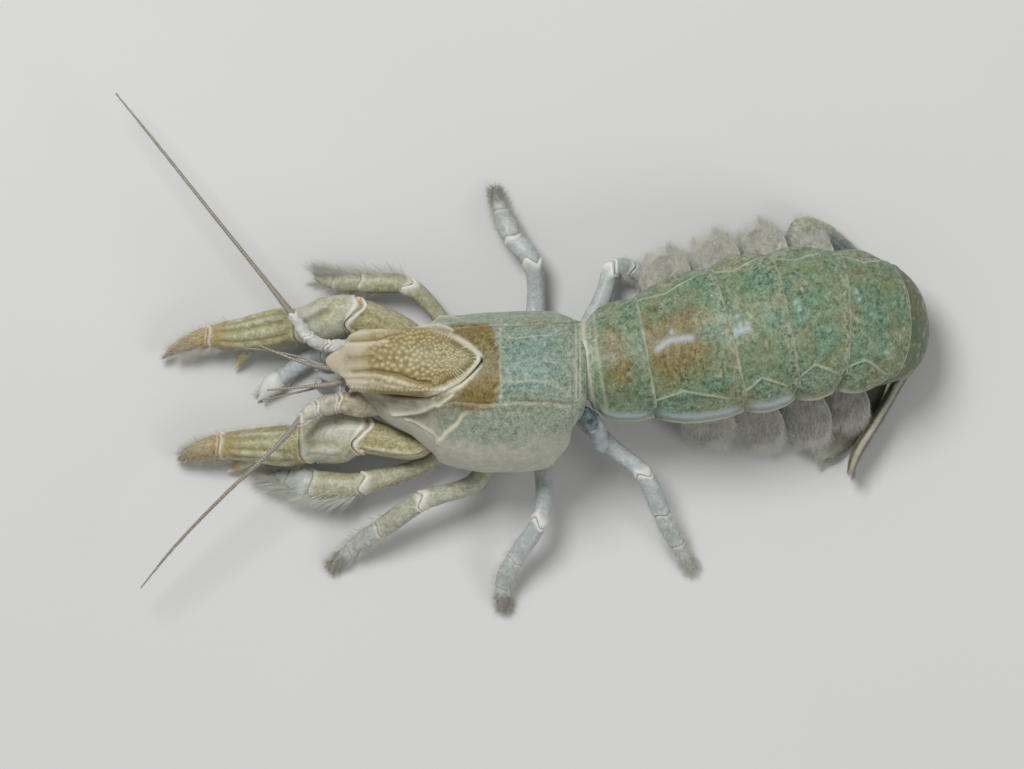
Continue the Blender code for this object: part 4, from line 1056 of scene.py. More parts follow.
def shield_skin(relief):
    """The head shield with its furrows, seam, tubercles and rim."""
    skin, out, half = shield_form()
    flat = skin.points[..., :2]
    x = flat[..., 0]
    top = fade(skin.normals[..., 2], 0.2, 0.5)
    furrows = np.maximum.reduce([stroke(flat, line, 0.32) for line in SHIELD_FURROWS])
    seam = stroke(flat, SHIELD_SEAM, 0.26)
    ridges = np.maximum.reduce([stroke(flat, line, 0.42) for line in SHIELD_RIDGES])
    rows_of_beads = np.maximum.reduce([beads(flat, line, 0.62, 0.27) for line in SHIELD_BEADS])
    edge = half - np.abs(out)
    edge = np.minimum(edge, (SHIELD[-1][0] - x) * 1.1)
    hind = fade(x, -15.5, -12.5)
    rim = bump_at(edge, 0.3, 0.36) * hind * top
    angle = np.arctan2(out, x + 12.5)
    spokes = 0.5 + 0.5 * np.cos((angle + rough(skin.points, 0.9, 14) * 0.05) * 50)
    spokes = spokes * (0.35 + 0.65 * fade(rough(skin.points, 0.8, 15), -0.5, 0.4))
    spoke_zone = fade(edge, 0.45, 0.75) * fade(edge, 2.6, 1.5) * fade(x, -14.0, -11.5)
    smooth = fade(x, -22.0, -24.6)
    ribs = 0.5 + 0.5 * np.cos(2 * np.pi * x / 0.34)
    rib_zone = smooth * fade(np.abs(out), 2.2, 2.7) * top
    middle_zone = np.exp(-((np.abs(out - 0.3) / 2.5) ** 3)) * fade(x, -21.5, -16.0)
    pebbles = cobbles(flat) * (1 - smooth) * (1 - spoke_zone) * (1 - furrows) * fade(edge, 0.3, 0.7) * top
    skin.lift(top * (
        -furrows * relief.furrow / MM - seam * 0.26 * (1 - furrows) + ridges * 0.16
        + rows_of_beads * relief.tubercle / MM + rim * 0.2 + spokes * spoke_zone * 0.2
        + pebbles * (0.17 - 0.08 * middle_zone) + ribs * rib_zone * 0.05
        - bump_at(edge, 0.95, 0.25) * hind * 0.14
        + rough(skin.points, 2.4, 11) * 0.08
    ))
    skin.mark("green", middle_zone * 0.8 + fade(x, -12.0, -9.0) * 0.3)
    skin.mark("cobble", pebbles)
    skin.mark("dark", (1 - pebbles) * (1 - smooth) * (0.62 - 0.2 * middle_zone) * top)
    skin.mark("dark", fade(rough(skin.points, 1.6, 71), 0.0, 0.8) * (1 - smooth) * 0.4 * top)
    wide = np.maximum.reduce([stroke(flat, line, 0.85) for line in (*SHIELD_FURROWS, SHIELD_SEAM)])
    skin.mark("dark", wide * 0.5 * top)
    skin.mark("dark", np.maximum(furrows * 0.8, seam * 0.5) * top)
    skin.mark("dark", bump_at(edge, 0.95, 0.2) * hind * 0.45)
    skin.mark("dark", (1 - spokes) * spoke_zone * 0.85)
    skin.mark("pale", fade(spokes, 0.4, 0.8) * spoke_zone * 0.65)
    skin.mark("dark", (1 - ribs) * rib_zone * 0.25)
    skin.mark("smooth", smooth)
    skin.mark("rim", rim)
    skin.mark("pale", ridges * 0.6 * top)
    skin.mark("pale", rows_of_beads * 0.5 * top)
    return skin


class SHRIMP_OT_head_shield(bpy.types.Operator):
    """Makes the shield on the head with its rostrum"""

    bl_idname = "shrimp.head_shield"
    bl_label = "Head Shield"

    def execute(self, context):
        shell, limbs = context.scene.shrimp_shell, context.scene.shrimp_limbs
        finish = shell_finish(
            "Head Shield Shell", shell.shield_dark, shell.shield_light,
            (
                ("green", shell.flank_dark, shell.flank_light, 0.7),
                ("smooth", shell.belly, shell.pale, 0.6),
                ("cobble", shell.shield_light, shell.shield_light, 0.85),
                ("dark", shell.shield_dark, shell.shield_dark, 0.95),
                ("pale", shell.pale, shell.pale, 0.9),
                ("rim", shell.pale, limbs.white, 0.95),
            ),
            cell=0.7, contrast=0.6, relief=(0.15, 0.3), flesh=0.08,
        )
        skin = shield_skin(context.scene.shrimp_relief)
        laid("head_shield_shell", skin, finish, "shield", "head_shield")
        return {"FINISHED"}


# The line between the back and the side flap of each segment: degrees round from the back at the
# front, the top of its arch and the end, on the animal's left and right, and the shares where they are.
PLEURON_LEFT = (-64.0, -50.0, -66.0)
PLEURON_RIGHT = (62.0, 52.0, 64.0)
PLEURON_SHARES = (0.05, 0.42, 0.8)
# Painted highlights: pale stripes across the back of some segments, by their number.
ABDOMEN_HIGHLIGHT_STREAKS = {
    2: ((19.9, 1.0), (21.6, 2.2), (24.9, 2.6)),
    3: ((29.7, 2.3), (31.6, 3.4), (33.4, 4.1)),
    4: ((37.6, 4.7), (39.0, 5.0)),
}
# Painted highlights: small bluish white dots on the back, most of them in pairs.
ABDOMEN_HIGHLIGHT_DOTS = (
    (31.6, 5.8), (32.1, 4.6), (40.4, 7.9), (40.9, 6.8), (49.5, 9.4), (49.9, 8.3), (21.9, 3.4), (54.0, 0.5),
)
# Ochre patches of the back: their middles and radii.
OCHRE_PATCHES = (
    ((14.7, -1.9), 2.4), ((13.2, 1.4), 1.7), ((19.3, 3.2), 2.6), ((24.9, 0.8), 3.0), ((21.4, -0.8), 3.2),
    ((24.0, 5.0), 2.0),
)
TAIL_GREEN = (56.9, 2.3)
SEGMENTS = 6


def segment_skin(rows, ways, number, relief):
    """One segment of the abdomen with its rim, side flaps and marks."""
    skin = lofted(rows, 260, ABDOMEN_SQUARE, ABDOMEN_FLARE, (0.35, 0.35), ways)
    share, turn = skin.share, skin.turn
    flat = skin.points[..., :2]
    last = number == SEGMENTS
    hind = 0.0 if last else relief.rim / MM
    tuck = -0.55 * (1 - fade(share, 0.0, 0.12)) if number > 1 else 0.0
    low = fade(np.abs(turn), 66.0, 84.0) * fade(np.abs(turn), 150.0, 128.0)
    lobe = low * (np.sin(np.pi * np.clip(share, 0, 1)) ** 0.6 - 0.6) * (0.0 if last else 1.7)
    line = np.where(
        turn < 0,
        np.interp(share, PLEURON_SHARES, PLEURON_LEFT), np.interp(share, PLEURON_SHARES, PLEURON_RIGHT),
    )
    reach = fade(share, 0.02, 0.08) * fade(share, 0.86, 0.74)
    off = (np.abs(turn) - np.abs(line)) * 0.17
    fold = bump_at(off, 0.0, 0.2) * reach * (0.0 if last or number == 1 else 1.0)
    knob = bump_at(share, 0.62, 0.07) * fold
    tail = bump_at(np.abs(turn), 74.0, 5.0) * fade(share, 0.25, 0.5) * 0.3 * last
    skin.lift(
        tuck + hind * fade(share, 0.6, 0.97) + lobe + fold * 0.14 + knob * 0.1 + tail
        - bump_at(share, 0.88, 0.05) * 0.06 * (not last)
        + rough(skin.points, 2.2, number) * 0.07
    )
    mark_segment(skin, flat, number, fold, knob, tail)
    return skin


def mark_segment(skin, flat, number, fold, knob, tail):
    """The colour marks of one segment."""
    share, turn = skin.share, skin.turn
    last = number == SEGMENTS
    up = skin.up()
    skin.mark("pale", fold * 0.7)
    skin.mark("pale", knob)
    wear = 0.55 + 0.45 * rough(skin.points, 1.1, 40 + number)
    skin.mark("pale", fade(share, 0.984, 0.996) * wear * (not last))
    skin.mark("pale", bump_at(np.abs(turn), 99.0, 6.0) * fade(share, 0.1, 0.3) * 0.8 * (not last))
    # Painted reflection: a soft bluish white band along the left flank of segments 1 to 3.
    flank_highlight_band = bump_at(turn, -84.0, 5.0) * fade(share, 0.1, 0.3) * fade(share, 0.95, 0.8)
    skin.mark("painted_highlight", flank_highlight_band * (number < 4))
    skin.mark("yellow", fade(share, 0.84, 0.97) * 0.5 * (not last))
    skin.mark("yellow", fade(np.abs(turn), 46.0, 70.0) * (0.35 if number > 2 else 0.1))
    drift = rough(skin.points, 1.4, 81)[..., None] * 0.9
    patches = sum(spot_at(flat + drift, spot, radius) for spot, radius in OCHRE_PATCHES)
    skin.mark("ochre", np.clip(patches, 0, 1) * up)
    # Painted highlights: pale stripes and dots on the upper side of the back.
    if number in ABDOMEN_HIGHLIGHT_STREAKS:
        skin.mark("painted_highlight", stroke(flat, ABDOMEN_HIGHLIGHT_STREAKS[number], 0.5) * up * 0.75)
    dots = np.maximum.reduce([spot_at(flat, dot, 0.33) for dot in ABDOMEN_HIGHLIGHT_DOTS])
    skin.mark("painted_highlight", dots * up * 0.8)
    if number == 1:
        skin.points[..., 0] -= 0.8 * fade(share, 0.12, 0.0)
        skin.look()
        skin.mark("grey", fade(flat[..., 0], 11.5, 9.0))
        skin.mark("pale", bump_at(share, 0.09, 0.03) * 0.7)
        skin.mark("pale", bump_at(share, 0.3, 0.03) * 0.35)
        skin.mark("green", fade(share, 0.7, 0.84) * 0.8)
    if last:
        skin.mark("dark_tone_and_painted_shade", 0.6 + 0.35 * fade(rough(skin.points, 1.5, 77), 0.0, 0.7))
        skin.mark("ochre", 0.9 - 0.7 * spot_at(flat, TAIL_GREEN, 3.2) * up)
        skin.mark("pale", tail)
        skin.mark("pale", fade(rough(skin.points, 0.8, 92), 0.25, 0.7) * 0.32)
        skin.mark("dark_tone_and_painted_shade", fade(rough(skin.points, 0.6, 93), 0.2, 0.7) * 0.8)
    skin.mark("low", fade(np.abs(turn), 120.0, 145.0))
    # Painted shade: each segment after the first is darker at its front, where it tucks under the rim of the
    # segment before.
    skin.mark("dark_tone_and_painted_shade", bump_at(share, 0.0, 0.07) * 0.8 * (number > 1))
    skin.mark("yellow", fade(rough(skin.points, 2.6, 90), 0.1, 0.7) * 0.45)


class SHRIMP_OT_abdomen(bpy.types.Operator):
    """Makes the six segments of the abdomen"""

    bl_idname = "shrimp.abdomen"
    bl_label = "Abdomen"

    def execute(self, context):
        shell = context.scene.shrimp_shell
        relief = context.scene.shrimp_relief
        finish = shell_finish(
            "Abdomen Shell", shell.green_dark, shell.green_light,
            (
                ("yellow", shell.ochre_dark, shell.pale, 0.6),
                ("ochre", shell.ochre_dark, shell.ochre_light, 0.85),
                ("grey", shell.flank_dark, shell.belly, 0.6),
                ("green", shell.green_dark, shell.green_light, 0.7),
                ("low", shell.belly, shell.belly, 0.8),
                # Painted highlights on the back and along the left flank.
                ("painted_highlight", shell.painted_highlight, shell.painted_highlight, 0.85),
                # Darker tone of the last segment, and painted shade at the front of each later segment.
                ("dark_tone_and_painted_shade", shell.green_dark, shell.green_dark, 0.85),
                ("pale", shell.pale, shell.pale, 0.85),
            ),
            cell=0.6, stretch=(1.0, 0.8, 0.85), contrast=0.95, relief=(0.35, 0.35), flesh=0.1,
            clouds=(shell.ochre_light, 0.3),
        )
        rows = blended(ABDOMEN, ABDOMEN_SPAN)
        ways = directions(rows)
        bounds = [k * ABDOMEN_SPAN for k in (0, *ABDOMEN_CUTS, len(ABDOMEN) - 1)]
        for number, (start, end) in enumerate(zip(bounds, bounds[1:]), start=1):
            lap = 5 if number < SEGMENTS else 0
            lead = 4 if number > 1 else 0
            span = slice(start - lead, end + 1 + lap)
            skin = segment_skin(rows[span], tuple(way[span] for way in ways), number, relief)
            laid(f"abdomen_{number}_shell", skin, finish, "shell", f"abdomen_{number}")
        return {"FINISHED"}


def blade_skin(rows, cols, square, rays, relief_height):
    """A flat blade with rays along it."""
    skin = lofted(rows, cols, square, 0.0, (0.2, 0.5))
    side = np.sin(np.radians(skin.turn)) if rows[2, 3] > rows[2, 4] else np.cos(np.radians(skin.turn))
    body = fade(skin.share, 0.08, 0.3) * fade(skin.share, 1.0, 0.85)
    ray = np.maximum.reduce([bump_at(side, place, 0.07) for place in rays])
    skin.lift(body * ray * relief_height + rough(skin.points, 1.4, 5) * 0.05)
    skin.mark("pale", ray * body * relief_height * 4)
    skin.mark("pale", fade(np.abs(side), 0.9, 0.99) * 0.8)
    skin.mark("edge", fade(np.abs(side), 0.75, 0.98))
    return skin


class SHRIMP_OT_tail_fan(bpy.types.Operator):
    """Makes the telson and the four blades beside it"""

    bl_idname = "shrimp.tail_fan"
    bl_label = "Tail Fan"

    def execute(self, context):
        shell = context.scene.shrimp_shell
        limbs = context.scene.shrimp_limbs
        finish = shell_finish(
            "Tail Fan Shell", shell.flank_dark, shell.belly,
            (
                ("ochre", shell.ochre_dark, shell.ochre_light, 0.8),
                ("blue", limbs.fan_blue, limbs.fan_blue, 0.9),
                ("dark_tone_and_painted_shade", limbs.feeler_dark, limbs.feeler_dark, 0.65),
                ("edge", limbs.leaf, shell.belly, 0.7),
                ("pale", shell.pale, shell.pale, 0.45),
            ),
            cell=0.8, contrast=0.7, relief=(0.2, 0.3), flesh=0.2,
        )
        skin = blade_skin(blended(TELSON, 14), 96, 0.7, (-0.45, 0.45), 0.12)
        skin.mark("ochre", fade(skin.share, 0.7, 0.2))
        laid("telson_shell", skin, finish, "fan", "telson")
        for name, stations in UROPODS.items():
            skin = blade_skin(blended(stations, 16), 96, 0.8, (-0.4, 0.0, 0.35), 0.1)
            flat = skin.points[..., :2]
            if name == "uropod_right_outer":
                skin.mark("blue", stroke(flat, ((46.2, 17.6), (48.3, 16.3), (50.4, 14.9)), 1.0) * 0.85)
                skin.mark("ochre", stroke(flat, ((43.2, 19.7), (45.3, 18.4)), 1.0) * 0.3)
            if name == "uropod_left_outer":
                ends = fade(skin.share, 0.75, 1.0) + fade(skin.share, 0.3, 0.0)
                skin.mark("ochre", 0.6 + 0.5 * ends)
                skin.mark("blue", fade(skin.normals[..., 0], 0.3, 0.8) * 0.4)
                skin.mark("dark_tone_and_painted_shade", 0.5 + 0.5 * fade(rough(skin.points, 1.1, 88), -0.3, 0.5))
            laid(f"{name}_shell", skin, finish, "fan", name)
        return {"FINISHED"}


def pleopod_stations(side, root, tip):
    """The sections of one leaf of a swimmeret."""
    stations = []
    for share, wide in PLEOPOD_SHAPE:
        x, y, z = (a + (b - a) * share for a, b in zip(root, tip))
        z += PLEOPOD_SAG * 4 * share * (1 - share)
        stations.append((x, y, z, wide, PLEOPOD_THICK / 2, PLEOPOD_ROLL[side]))
    return stations


# The share of its length that the last right swimmeret keeps, so that the blade shows past it.
LAST_LEAF = 0.72


def pleopods():
    """The name and the sections of each swimmeret."""
    for side, roots, tips in (("left", *PLEOPODS_LEFT), ("right", *PLEOPODS_RIGHT)):
        for number, (root, tip) in enumerate(zip(roots, tips), start=2):
            if (side, number) == ("right", 5):
                tip = tuple(a + (b - a) * LAST_LEAF for a, b in zip(root, tip))
            yield f"pleopod_{side}_{number}", pleopod_stations(side, root, tip)


class SHRIMP_OT_swimmerets(bpy.types.Operator):
    """Makes the leaf-like swimmerets"""

    bl_idname = "shrimp.swimmerets"
    bl_label = "Swimmerets"

    def execute(self, context):
        shell, limbs = context.scene.shrimp_shell, context.scene.shrimp_limbs
        finish = shell_finish(
            "Swimmeret Leaf", limbs.leaf, shell.belly,
            (("pale", limbs.leg_light, limbs.leg_light, 0.35),),
            cell=1.0, contrast=0.6, relief=(0.1, 0.2), flesh=0.3,
        )
        for name, stations in pleopods():
            rows = blended(stations, 14)
            rows[:, 4] *= 0.7
            rows[:, 3] *= 1.16
            skin = blade_skin(rows, 80, 0.85, (-0.6, -0.3, 0.0, 0.3, 0.6), 0.07)
            laid(f"{name}_leaf", skin, finish, "fringe", name)
        return {"FINISHED"}


# The eyes as drawn here: x, y, z, half width, half height.
EYE_SHAPES = {
    "left": ((-24.6, -2.6, 15.6, 0.7, 0.7), (-25.5, -3.8, 15.7, 0.78, 0.78), (-26.0, -4.5, 15.8, 0.76, 0.76),
             (-26.3, -5.0, 15.8, 0.55, 0.55)),
    "right": ((-24.6, 1.0, 14.8, 0.7, 0.7), (-25.2, 1.7, 14.9, 0.78, 0.78), (-25.6, 2.2, 14.9, 0.76, 0.76),
              (-25.8, 2.6, 14.9, 0.55, 0.55)),
}


class SHRIMP_OT_eyes(bpy.types.Operator):
    """Makes the two stalked eyes"""

    bl_idname = "shrimp.eyes"
    bl_label = "Eyes"

    def execute(self, context):
        shell, limbs = context.scene.shrimp_shell, context.scene.shrimp_limbs
        finish = shell_finish(
            "Eye", shell.belly, shell.pale, (("cornea", limbs.cornea, limbs.cornea, 1.0),),
            cell=0.5, contrast=0.5, relief=(0.1, 0.1), gloss=0.22,
        )
        for side, stations in EYE_SHAPES.items():
            skin = lofted(blended(stations, 14), 48, 1.0, 0.0, (0.3, 0.55))
            skin.lift(bump_at(skin.share, 0.7, 0.05) * -0.07)
            skin.mark("cornea", fade(skin.share, 0.74, 0.8) * fade(skin.normals[..., 0], 0.4, 0.1))
            laid(f"eye_{side}_stalk", skin, finish, "cornea", f"eye_{side}")
        return {"FINISHED"}


# The bases of the antennae as drawn here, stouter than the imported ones: their first stations.
FEELER_BASES = {
    "left": ((-20.6, -7.2, 12.0, 1.5, 1.5), (-24.6, -7.4, 12.6, 1.8, 1.6), (-27.8, -7.1, 13.0, 1.6, 1.4),
             (-31.0, -7.9, 13.2, 1.4, 1.25), (-33.4, -9.5, 13.3, 1.0, 1.0)),
    "right": ((-22.6, 0.6, 12.2, 1.2, 1.2), (-26.8, 1.2, 12.8, 1.25, 1.2), (-29.6, 1.4, 13.2, 1.1, 1.05),
              (-32.4, 2.8, 13.5, 0.95, 0.9), (-34.6, 6.0, 13.6, 0.75, 0.75)),
}


def ringed(stations, per_span, cols, step, depth, size=1.0):
    """A feeler with rings along it."""
    rows = blended(stations, per_span)
    rows[:, 3:5] *= size
    skin = lofted(rows, cols, 1.0, 0.0, (0.1, 0.1))
    length = np.linalg.norm(np.diff(rows[:, :3], axis=0), axis=1).sum()
    wave = 0.5 + 0.5 * np.cos(2 * np.pi * skin.share * length / step)
    skin.lift(-depth * (1 - wave))
    skin.mark("gap", 1 - wave)
    return skin


def limb_course(stations, per_span):
    """A whole limb's sections and their directions, so that its lengths meet on one plane at each joint."""
    rows = blended(stations, per_span)
    return rows, directions(rows)


def podomere(
    course, start, end, cols, profile=(1.0, 1.0), square=0.85, swing=(0.0, 0.0), band=0.5,
    caps=(0.3, 0.3), neck=0.22,
):
    """One length of a limb, from one row of its course to another.

    The profile multiplies the half sizes along it. Each swing bends the rim of that end into an S
    across the limb. The near end has a narrow neck that sits in the lip of the length before.
    """
    rows, ways = course
    rows = rows[start:end + 1].copy()
    ways = tuple(way[start:end + 1] for way in ways)
    rows[:, 3:5] *= np.interp(np.linspace(0, 1, len(rows)), np.linspace(0, 1, len(profile)), profile)[:, None]
    skin = lofted(rows, cols, square, 0.0, caps, ways)
    steps = np.linalg.norm(np.diff(rows[:, :3], axis=0), axis=1)
    run = np.concatenate([[0.0] * (CAP_RINGS + 1), np.cumsum(steps), [steps.sum()] * CAP_RINGS])
    place = run[:, None] * np.ones(cols)
    ahead = steps.sum() - place
    side = np.sin(np.radians(skin.turn))
    curve = np.sin(np.pi * side) * fade(np.cos(np.radians(skin.turn)), -0.4, 0.3)
    near, far = fade(place, 2.2, 0.0), fade(ahead, 2.2, 0.0)
    skin.points = skin.points + (
        ways[0][0] * (curve * swing[0] * near)[..., None] + ways[0][-1] * (curve * swing[1] * far)[..., None]
    )
    skin.look()
    first, last = bool(swing[0]), bool(swing[1])
    lip = bump_at(ahead, band * 0.45, band * 0.5) * last
    rim = bump_at(place, band * 1.25, band * 0.3) * first
    hollow = fade(place, band * 0.95, band * 0.55) * first
    skin.lift(lip * 0.17 + rim * 0.1 - hollow * neck - bump_at(ahead, band * 1.7, band * 0.5) * last * 0.07)
    skin.mark("white", np.maximum(lip, rim * 0.9))
    skin.mark("neck", hollow)
    knobs = bump_at(np.abs(side), 0.86, 0.16) * np.maximum(lip, rim) * fade(skin.normals[..., 2], -0.2, 0.2)
    skin.mark("orange", knobs * 0.75)
    skin.place, skin.ahead = place, ahead
    return skin


class SHRIMP_OT_feelers(bpy.types.Operator):
    """Makes the antennae and the antennules"""

    bl_idname = "shrimp.feelers"
    bl_label = "Feelers"

    def execute(self, context):
        shell, limbs = context.scene.shrimp_shell, context.scene.shrimp_limbs
        ring_finish = shell_finish(
            "Feeler Rings", limbs.feeler, limbs.leg_light,
            (("gap", limbs.feeler_dark, limbs.feeler_dark, 0.6),),
            cell=0.5, contrast=0.35, relief=(0.1, 0.1),
        )
        base_finish = shell_finish(
            "Feeler Base", limbs.feeler, shell.pale,
            (("olive", limbs.olive_dark, limbs.olive_light, 0.5), ("fair", limbs.leg_light, limbs.white, 1.0),
             ("white", limbs.white, limbs.white, 0.7),
             ("neck", limbs.feeler, limbs.feeler, 0.5), ("orange", limbs.orange, limbs.orange, 0.3)),
            cell=0.7, contrast=0.55, relief=(0.1, 0.25), flesh=0.25,
        )
        for side in ("left", "right"):
            rows = ANTENNAE[side]
            course = limb_course((*FEELER_BASES[side], rows[2]), 16)
            for number, (start, end) in enumerate(((0, 32), (32, 48), (48, 64))):
                skin = podomere(
                    course, start, end, 72, (0.92, 1.02, 0.86), 0.9, (0.25, 0.3), 0.32, (0.2, 0.2), 0.12,
                )
                lumps = rough(skin.points, 0.9, 50 + number) * 0.2
                skin.lift(lumps + rough(skin.points, 0.35, 55 + number) * 0.06)
                skin.mark("olive", fade(rough(skin.points, 1.0, 60 + number), -0.3, 0.4))
                skin.mark("fair", np.full(skin.share.shape, 0.6 if side == "right" else 0.15 * number))
                node = f"antenna_{side}_base"
                laid(f"{node}_{number}", skin, base_finish, "feeler", node)
            skin = ringed(rows[1:], 110, 14, 0.42, 0.03, 0.74)
            laid(f"antenna_{side}_rings", skin, ring_finish, "feeler", f"antenna_{side}_flagellum")
            for number, stations in enumerate(ANTENNULES[side]):
                skin = ringed(stations, 60, 14, 0.36, 0.014, (0.56, 0.5)[number])
                skin.marks["gap"] *= fade(skin.share, 0.15, 0.4)
                laid(f"antennule_{side}_{number}", skin, ring_finish, "feeler", f"antennule_{side}")
        return {"FINISHED"}


class SHRIMP_OT_mouth_limbs(bpy.types.Operator):
    """Makes the maxillipeds under the head"""

    bl_idname = "shrimp.mouth_limbs"
    bl_label = "Mouth Limbs"

    def execute(self, context):
        limbs = context.scene.shrimp_limbs
        finish = limb_finish(limbs, "Mouth Limb", 0.2)
        for side, rows in MAXILLIPEDS.items():
            course = limb_course(rows, 16)
            for number, (start, end) in enumerate(((0, 16), (16, 32), (32, 16 * (len(rows) - 1)))):
                skin = podomere(
                    course, start, end, 48, (0.9, 1.05, 0.95), 0.9, (0.15, 0.15 * (number < 2)), 0.35,
                    (0.3, 0.2),
                )
                laid(f"maxilliped_{side}_{number}", skin, finish, "limb", f"maxilliped_{side}")
        return {"FINISHED"}


def limb_finish(limbs, name, olive):
    """The finish of a walking leg, more or less olive."""
    return shell_finish(
        name, limbs.leg_dark, limbs.leg_light,
        (("olive", limbs.olive_dark, limbs.olive_light, olive), ("orange", limbs.orange, limbs.orange, 0.75),
         ("white", limbs.white, limbs.white, 0.9), ("neck", limbs.feeler, limbs.feeler, 0.5),
         ("soil", limbs.soil, limbs.bristle, 0.6)),
        cell=0.7, contrast=0.7, relief=(0.08, 0.35), flesh=0.3,
    )


# Ridges along the palms and fingers: degrees round from the top, width in degrees, height share.
PALM_RIDGES = {
    "left": ((-34.0, 11.0, 1.0), (-4.0, 10.0, 0.7), (26.0, 10.0, 1.0), (62.0, 12.0, 0.7)),
    "right": ((-58.0, 12.0, 0.8), (-26.0, 11.0, 1.0), (6.0, 10.0, 0.7), (38.0, 11.0, 0.8)),
}
PALM_FURROWS = {"left": (-20.0, 12.0, 46.0), "right": (-42.0, -10.0, 22.0)}
FIXED_FINGERS = {
    "left": ((-41.4, -15.4, 2.6, 1.2, 1.3), (-43.2, -16.6, 2.1, 0.85, 0.9), (-44.8, -17.5, 1.4, 0.15, 0.2)),
    "right": ((-41.8, 1.2, 2.6, 1.2, 1.3), (-42.7, -0.4, 2.1, 0.75, 0.85), (-43.8, -1.9, 1.4, 0.12, 0.15)),
}
CLAW_SPINES = {
    "left": (
        ((-31.6, -9.7, 7.2), (-33.6, -8.0, 7.8), 0.4), ((-45.2, -11.9, 4.6), (-45.9, -11.4, 4.9), 0.42),
        *(((-31.0 + 0.47 * k, -15.8, 5.3), (-31.1 + 0.47 * k, -16.4, 5.3), 0.27) for k in range(7)),
    ),
    "right": (
        ((-31.8, 3.2, 7.0), (-33.2, 1.9, 7.5), 0.4), ((-46.8, 1.5, 4.0), (-47.6, 1.0, 4.1), 0.42),
    ),
}


def spines(name, rows):
    """Cones, each from its base to its tip."""
    bm = bmesh.new()
    for base, tip, radius in rows:
        base, tip = Vector(base) * MM, Vector(tip) * MM
        lie = tip - base
        turn = lie.to_track_quat("Z", "Y").to_matrix().to_4x4()
        bmesh.ops.create_cone(
            bm, cap_ends=True, cap_tris=False, segments=14, radius1=radius * MM, radius2=radius * MM * 0.08,
            depth=lie.length * 1.25, matrix=Matrix.Translation(base + lie * 0.375) @ turn,
        )
    return object_of(name, bm)


def knobs(name, rows):
    """Small rounded knobs, each from its middle and radius."""
    bm = bmesh.new()
    for middle, radius in rows:
        place = Matrix.Translation(Vector(middle) * MM)
        bmesh.ops.create_uvsphere(bm, u_segments=20, v_segments=12, radius=radius * MM, matrix=place)
    return object_of(name, bm)


def joint_knobs(course, row, at, reach=0.92, radius=0.5):
    """Where the knobs of a joint sit: on both sides of the limb at a row of its course."""
    rows, (_, across, above) = course
    places = []
    for side in at:
        turn = math.radians(side)
        middle = rows[row, :3] + reach * (
            across[row] * rows[row, 3] * math.sin(turn) + above[row] * rows[row, 4] * math.cos(turn)
        )
        places.append((tuple(middle), radius))
    return places


def claw_finish(limbs, name, striae):
    """The finish of the claw's plates."""
    return shell_finish(
        name, limbs.olive_dark, limbs.olive_light,
        (("flap", limbs.feeler, limbs.olive_light, 0.85), ("pale", limbs.leg_light, limbs.leg_light, 0.6),
         ("furrow", limbs.olive_dark, limbs.olive_dark, 0.8),
         ("tawny", limbs.tawny, limbs.orange, 0.85),
         ("orange", limbs.orange, limbs.orange, 0.9), ("white", limbs.white, limbs.white, 0.9),
         ("neck", limbs.feeler, limbs.feeler, 0.5), ("soil", limbs.soil, limbs.feeler, 0.75)),
        cell=0.6, stretch=(0.8, 1.0, 1.0), contrast=0.8, relief=(0.08, 0.4), flesh=0.12, striae=striae,
    )


# The fingers as drawn here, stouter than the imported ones: the last stations of each claw.
FINGERS = {
    "left": (
        (-45.6, -13.7, 3.4, 1.95, 2.2, 0.0), (-49.0, -14.4, 2.7, 1.45, 1.5, 0.0),
        (-51.2, -15.1, 2.0, 0.8, 0.8, 0.0), (-52.1, -15.7, 1.5, 0.25, 0.3, 0.0),
    ),
    "right": (
        (-47.3, 2.85, 3.4, 1.65, 2.1, 0.0), (-50.8, 1.95, 2.7, 1.15, 1.4, 0.0),
        (-53.3, 0.7, 2.0, 0.62, 0.7, 0.0), (-54.5, -0.3, 1.5, 0.2, 0.25, 0.0),
    ),
}
CLAW_SPAN = 30


def cross_scales(skin, outer, edge):
    """Rows of small scales on one side of a claw's plate, up to an edge in degrees."""
    rows = np.maximum(0.0, np.cos(2 * np.pi * (skin.place + outer * 0.01) / 0.42))
    return rows * np.maximum(0.0, np.cos(np.radians(outer) * 30)) * fade(outer, edge, -10.0)


def arm_skin(course, side):
    """The arm of a claw with its crest, scales and side flap."""
    skin = podomere(course, 0, 2 * CLAW_SPAN, 130, (1.0, 1.0, 1.0), 0.8, (0.0, 1.1), 0.6)
    outer = skin.turn if side == "left" else -skin.turn
    line = 12.0 + 24.0 * fade(skin.share, 0.3, 0.9)
    crest = bump_at(outer, line, 7.0) * fade(skin.share, 0.2, 0.45) * fade(skin.share, 1.0, 0.85)
    scales = cross_scales(skin, outer, 4.0)
    skin.lift(crest * 0.3 + scales * 0.05)
    skin.mark("flap", fade(outer, line + 3.0, line + 12.0) * fade(outer, 180.0, 150.0))
    skin.mark("flap", fade(np.abs(skin.turn), 80.0, 115.0))
    skin.mark("tawny", crest * 0.1)
    skin.mark("pale", crest * 0.4)
    skin.mark("pale", scales * 0.25)
    return skin


